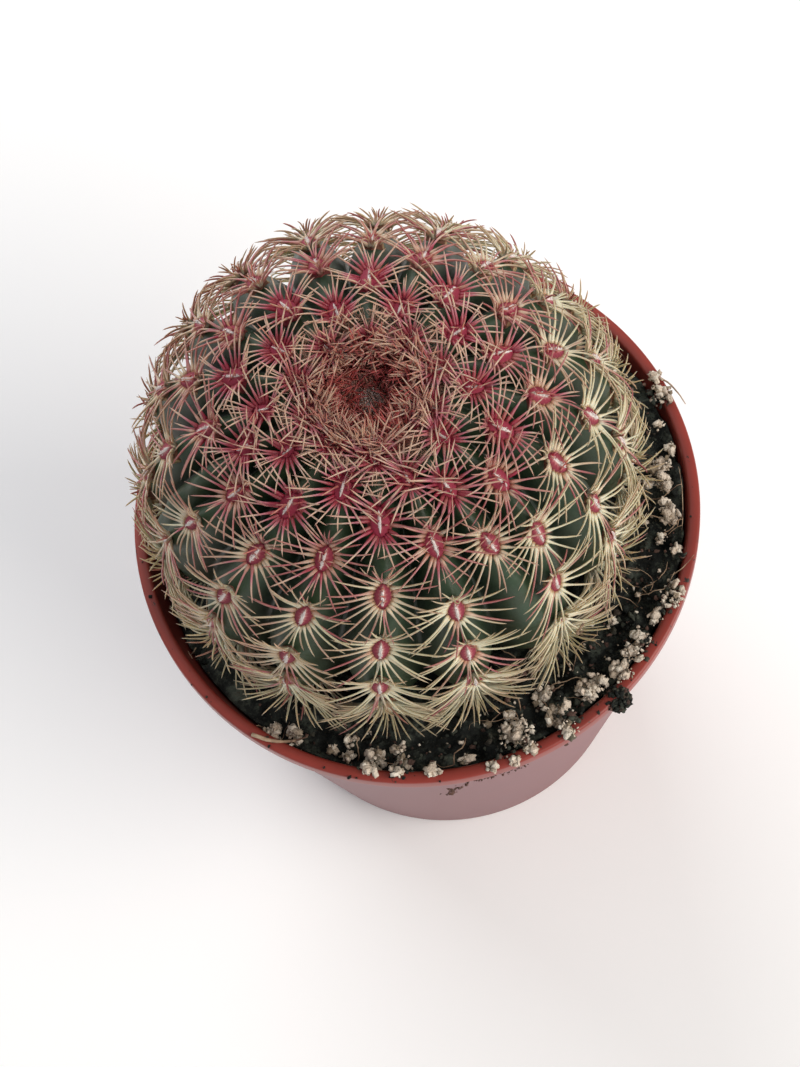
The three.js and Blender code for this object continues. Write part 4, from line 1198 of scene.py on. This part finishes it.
class AddCrown(bpy.types.Operator):
    """Crowd young spines over the sunken crown, with a tuft of wool in its middle"""

    bl_idname = "cactus.add_crown"
    bl_label = "Crown"

    def execute(self, context):
        scene = context.scene
        plant, spine = scene.cactus_plant, scene.cactus_spines
        draw = np.random.default_rng(17)
        shape = (BUDS, BUD_SPINES)
        index = np.arange(BUDS)
        share = np.sqrt((index + 5) / (BUDS + 4))
        turn = np.radians(GOLDEN_ANGLE * index)
        out, origin = crown_spots(plant, CROWN_RIM * share, turn)
        inward = np.stack([-np.sin(turn), np.cos(turn), 0 * turn], axis=-1)
        around = np.cross(out, inward)
        share, out, origin, inward, around = (part[:, None] for part in (share, out, origin, inward, around))
        sideways = draw.normal(0, 0.42, shape) + draw.normal(0, 0.4, (BUDS, 1))
        lean = draw.normal(0, 0.45, shape) + draw.normal(0, 0.2, (BUDS, 1)) + 0.12 + 0.45 * share
        tall = mix(1.9, 5.2, share) * draw.uniform(0.55, 1.15, shape) * MM
        way = unit(out + inward * lean[..., None] + around * sideways[..., None])
        spin = draw.uniform(0, 2 * np.pi, (*shape, 1))
        foot = origin + (inward * np.sin(spin) + around * np.cos(spin)) * 0.6 * MM
        tip = foot + way * tall[..., None]
        middle = mix(foot, tip, 0.5) + out * draw.uniform(0, 0.5, shape)[..., None] * MM
        paths = stand(plant, bend(foot, middle, tip))
        thickness = mix(0.2, 0.28, share) * draw.normal(1, 0.1, shape) * MM
        tint = mix(1.0, 0.68, ramp(share, 0.66, 0.94)) + draw.normal(0, 0.09, shape)
        tint = tint + draw.normal(0, 0.1, (BUDS, 1))
        spine_piece("spines_crown", spine, paths, thickness, np.clip(tint, 0.42, 0.99))
        self.add_tuft(plant, spine, draw)
        return {"FINISHED"}

    def add_tuft(self, plant, spine, draw):
        """Felt that fills the crown between the young spines, pale in the very middle."""
        hairs = TUFT_HAIRS + FELT_HAIRS
        polar = np.r_[TUFT * np.sqrt(draw.random(TUFT_HAIRS)), FELT * draw.random(FELT_HAIRS) ** 0.6]
        out, foot = crown_spots(plant, polar, draw.uniform(0, 2 * np.pi, hairs))
        way = unit(out + draw.normal(0, 0.6, (hairs, 3)))
        tuft = polar < TUFT
        tall = np.where(tuft, draw.uniform(0.8, 1.9, hairs), draw.uniform(0.6, 2.2, hairs))
        tip = foot + way * tall[:, None] * MM
        middle = mix(foot, tip, 0.5) + draw.normal(0, 0.25, (hairs, 3)) * MM
        paths = stand(plant, bend(foot, middle, tip, HAIR_RINGS))
        pale = 0.24 * draw.random(hairs) + 0.6 * (draw.random(hairs) < 0.4)
        red = draw.uniform(0.6, 1, hairs) - 0.25 * ramp(polar, 9, 18)
        radii = 0.06 * MM * np.linspace(1, 0.5, HAIR_RINGS)
        hair_piece("crown_tuft", spine, paths, radii, np.where(tuft, pale, red))


def crown_spots(plant, polar, turn):
    """Directions out of the crown, and spots on it in the globe's own frame."""
    p = np.radians(polar)
    out = from_front(np.sin(p), turn, np.cos(p))
    spots = out * np.array([plant.radius, plant.radius, plant.half_height])
    spots[..., 2] -= plant.crown_depth * np.exp(-((polar / CROWN_SPREAD) ** 2))
    return out, spots


def spine_horn(tree, spine):
    """Hard dry spine wood: satin, crimson at the root, then cream to straw, rosier or maroon when young."""
    chart = node(tree, "SeparateXYZ", [node(tree, "UVMap", uv_map="OFBake")])
    along, tint = chart.outputs["X"], chart.outputs["Y"]
    cream, straw, rose = rgba(spine.cream), rgba(spine.straw), rgba(spine.rose)
    crimson, maroon = rgba(spine.crimson), rgba(spine.maroon)
    # Rows of the colour chart, from grown spines at the bottom to the newest ones at the top.
    rows = [
        [(0, "#a85a50"), (0.025, "#c4a078"), (0.08, cream), (0.6, straw), (1, "#b09c7e")],
        [(0, crimson), (0.03, "#b98a6c"), (0.16, "#cdb09a"), (0.45, rose), (1, "#8d4a4b")],
        [(0, crimson), (0.2, crimson), (0.4, "#c07584"), (0.6, "#ccb09a"), (0.85, "#c3a08a"), (1, "#9c6258")],
        [(0, "#9a4a4c"), (0.3, "#b4766a"), (0.65, "#c49886"), (1, "#9c4f4c")],
        [(0, "#b06c66"), (0.35, "#b65a5a"), (0.7, maroon), (1, "#78262c")],
    ]
    tone, *others = [node(tree, "ValToRGB", [along], row) for row in rows]
    for i, row in enumerate(others):
        low, high = i / len(others), (i + 1) / len(others)
        share = node(tree, "MapRange", [tint, low, high])
        tone = node(tree, "Mix", {"Factor": share, 6: tone, 7: row}, data_type="RGBA")
    return {
        "Base Color": tone,
        "Roughness": 0.42,
        "IOR": 1.5,
        # Light passes through a spine's width, so those against the light look bright.
        "Subsurface Weight": 0.4,
        "Subsurface Radius": (1, 0.7, 0.5),
        "Subsurface Scale": MM,
    }


# ---------------------------------------------------------------- studio

PICTURE = (800, 1067)
LIP_PIXEL = (414.6, 507.5)  # where the middle of the lip lies in the photograph
SENSOR = 36
FLOOR_REACH = 2
LIT_SPOT = Vector((0, 0, 0.07))
# Square soft lights: where they stand, their side, the setting of their power and their tint.
LIGHTS = {
    "window": ((0.62, -0.42, 0.6), 0.75, "key_power", "#fff9f1"),
    "reflector": ((-0.65, -0.1, 0.55), 0.8, "fill_power", "#e9f0ff"),
    "back_reflector": ((-0.25, 0.75, 0.55), 0.8, "back_power", "#ffffff"),
}
SKY_TINT = "#f3f5f8"


class AddStudio(bpy.types.Operator):
    """Set up the pale floor, the soft lights and the camera"""

    bl_idname = "cactus.add_studio"
    bl_label = "Studio"

    def execute(self, context):
        scene = context.scene
        studio = scene.cactus_studio
        mesh = bpy.data.meshes.new("floor")
        corners = [(x * FLOOR_REACH, y * FLOOR_REACH, 0) for x, y in ((-1, -1), (1, -1), (1, 1), (-1, 1))]
        mesh.from_pydata(corners, [], [(0, 1, 2, 3)])
        mesh.materials.append(made_of("uncoated_paper", paper, studio))
        floor = bpy.data.objects.new("floor", mesh)
        scene.collection.objects.link(floor)
        for name, (place, side, power, tint) in LIGHTS.items():
            light = bpy.data.lights.new(name, "AREA")
            light.shape, light.size, light.energy = "SQUARE", side, getattr(studio, power)
            light.color = linear(tint)
            lamp = bpy.data.objects.new(name, light)
            lamp.location = place
            lamp.rotation_euler = (LIT_SPOT - Vector(place)).to_track_quat("-Z", "Y").to_euler()
            scene.collection.objects.link(lamp)
        scene.world = bpy.data.worlds.new("even_sky")
        scene.world.use_nodes = True
        sky = scene.world.node_tree.nodes["Background"].inputs
        sky["Color"].default_value, sky["Strength"].default_value = rgba(SKY_TINT), studio.sky
        scene.view_settings.view_transform = "Standard"
        scene.camera = add_camera(studio, scene.cactus_pot)
        return {"FINISHED"}


def add_camera(studio, pot):
    """The photograph's viewpoint: from the front and above, rolled a little, with no shift."""
    elevation = math.radians(studio.elevation)
    back = Vector((0, -math.cos(elevation), math.sin(elevation)))
    right = Vector((1, 0, 0))
    level = Matrix((right, back.cross(right), back))
    left_of, above = LIP_PIXEL[0] - PICTURE[0] / 2, PICTURE[1] / 2 - LIP_PIXEL[1]
    to_lip = Vector((left_of / studio.focal, above / studio.focal, -1)).normalized()
    aside = Vector((0, 0, -1)).rotation_difference(to_lip).to_matrix()
    into_view = aside @ Matrix.Rotation(math.radians(studio.roll), 3, "Z") @ level
    data = bpy.data.cameras.new("camera")
    data.sensor_fit, data.sensor_height = "VERTICAL", SENSOR
    data.lens = studio.focal / PICTURE[1] * SENSOR
    camera = bpy.data.objects.new("camera", data)
    place = Vector((0, 0, pot.height)) + back * studio.distance
    camera.matrix_world = Matrix.Translation(place) @ into_view.transposed().to_4x4()
    bpy.context.scene.collection.objects.link(camera)
    return camera


def paper(tree, studio):
    """Uncoated paper: matt and almost white, with a faint cloudiness."""
    place = node(tree, "TexCoord").outputs["Object"]
    cloud = node(tree, "TexNoise", {"Vector": place, "Scale": 6, "Detail": 4})
    tone = node(tree, "ValToRGB", [cloud], [(0.3, rgba(studio.floor, 0.97)), (0.7, rgba(studio.floor))])
    return {"Base Color": tone, "Roughness": 0.95, "Specular IOR Level": 0.1}


# ---------------------------------------------------------------- add-on


SETTINGS = {
    "cactus_pot": PotSettings,
    "cactus_soil": SoilSettings,
    "cactus_plant": PlantSettings,
    "cactus_spines": SpineSettings,
    "cactus_studio": StudioSettings,
}
OPERATORS = (AddPot, AddSoil, AddCrumbs, AddPumice, AddRootlets, AddStem, AddAreoles, AddSpines, AddCrown)
OPERATORS += (AddStudio,)


class CactusPanel(bpy.types.Panel):
    """Lists the pieces of the potted cactus and their sizes and colours"""

    bl_idname = "VIEW3D_PT_cactus"
    bl_label = "Potted round cactus"
    bl_space_type = "VIEW_3D"
    bl_region_type = "UI"
    bl_category = "Cactus"

    def draw(self, context):
        for operator in OPERATORS:
            self.layout.operator(operator.bl_idname)
        for name, kind in SETTINGS.items():
            box = self.layout.box()
            box.label(text=kind.__doc__)
            for prop in kind.__annotations__:
                box.prop(getattr(context.scene, name), prop)


def register():
    for kind in (*SETTINGS.values(), *OPERATORS, CactusPanel):
        bpy.utils.register_class(kind)
    for name, kind in SETTINGS.items():
        setattr(bpy.types.Scene, name, PointerProperty(type=kind))


def unregister():
    for name in SETTINGS:
        delattr(bpy.types.Scene, name)
    for kind in (CactusPanel, *reversed(OPERATORS), *reversed(SETTINGS.values())):
        bpy.utils.unregister_class(kind)


def main():
    register()
    for operator in OPERATORS:
        group, name = operator.bl_idname.split(".")
        getattr(getattr(bpy.ops, group), name)()


if __name__ == "__main__":
    main()
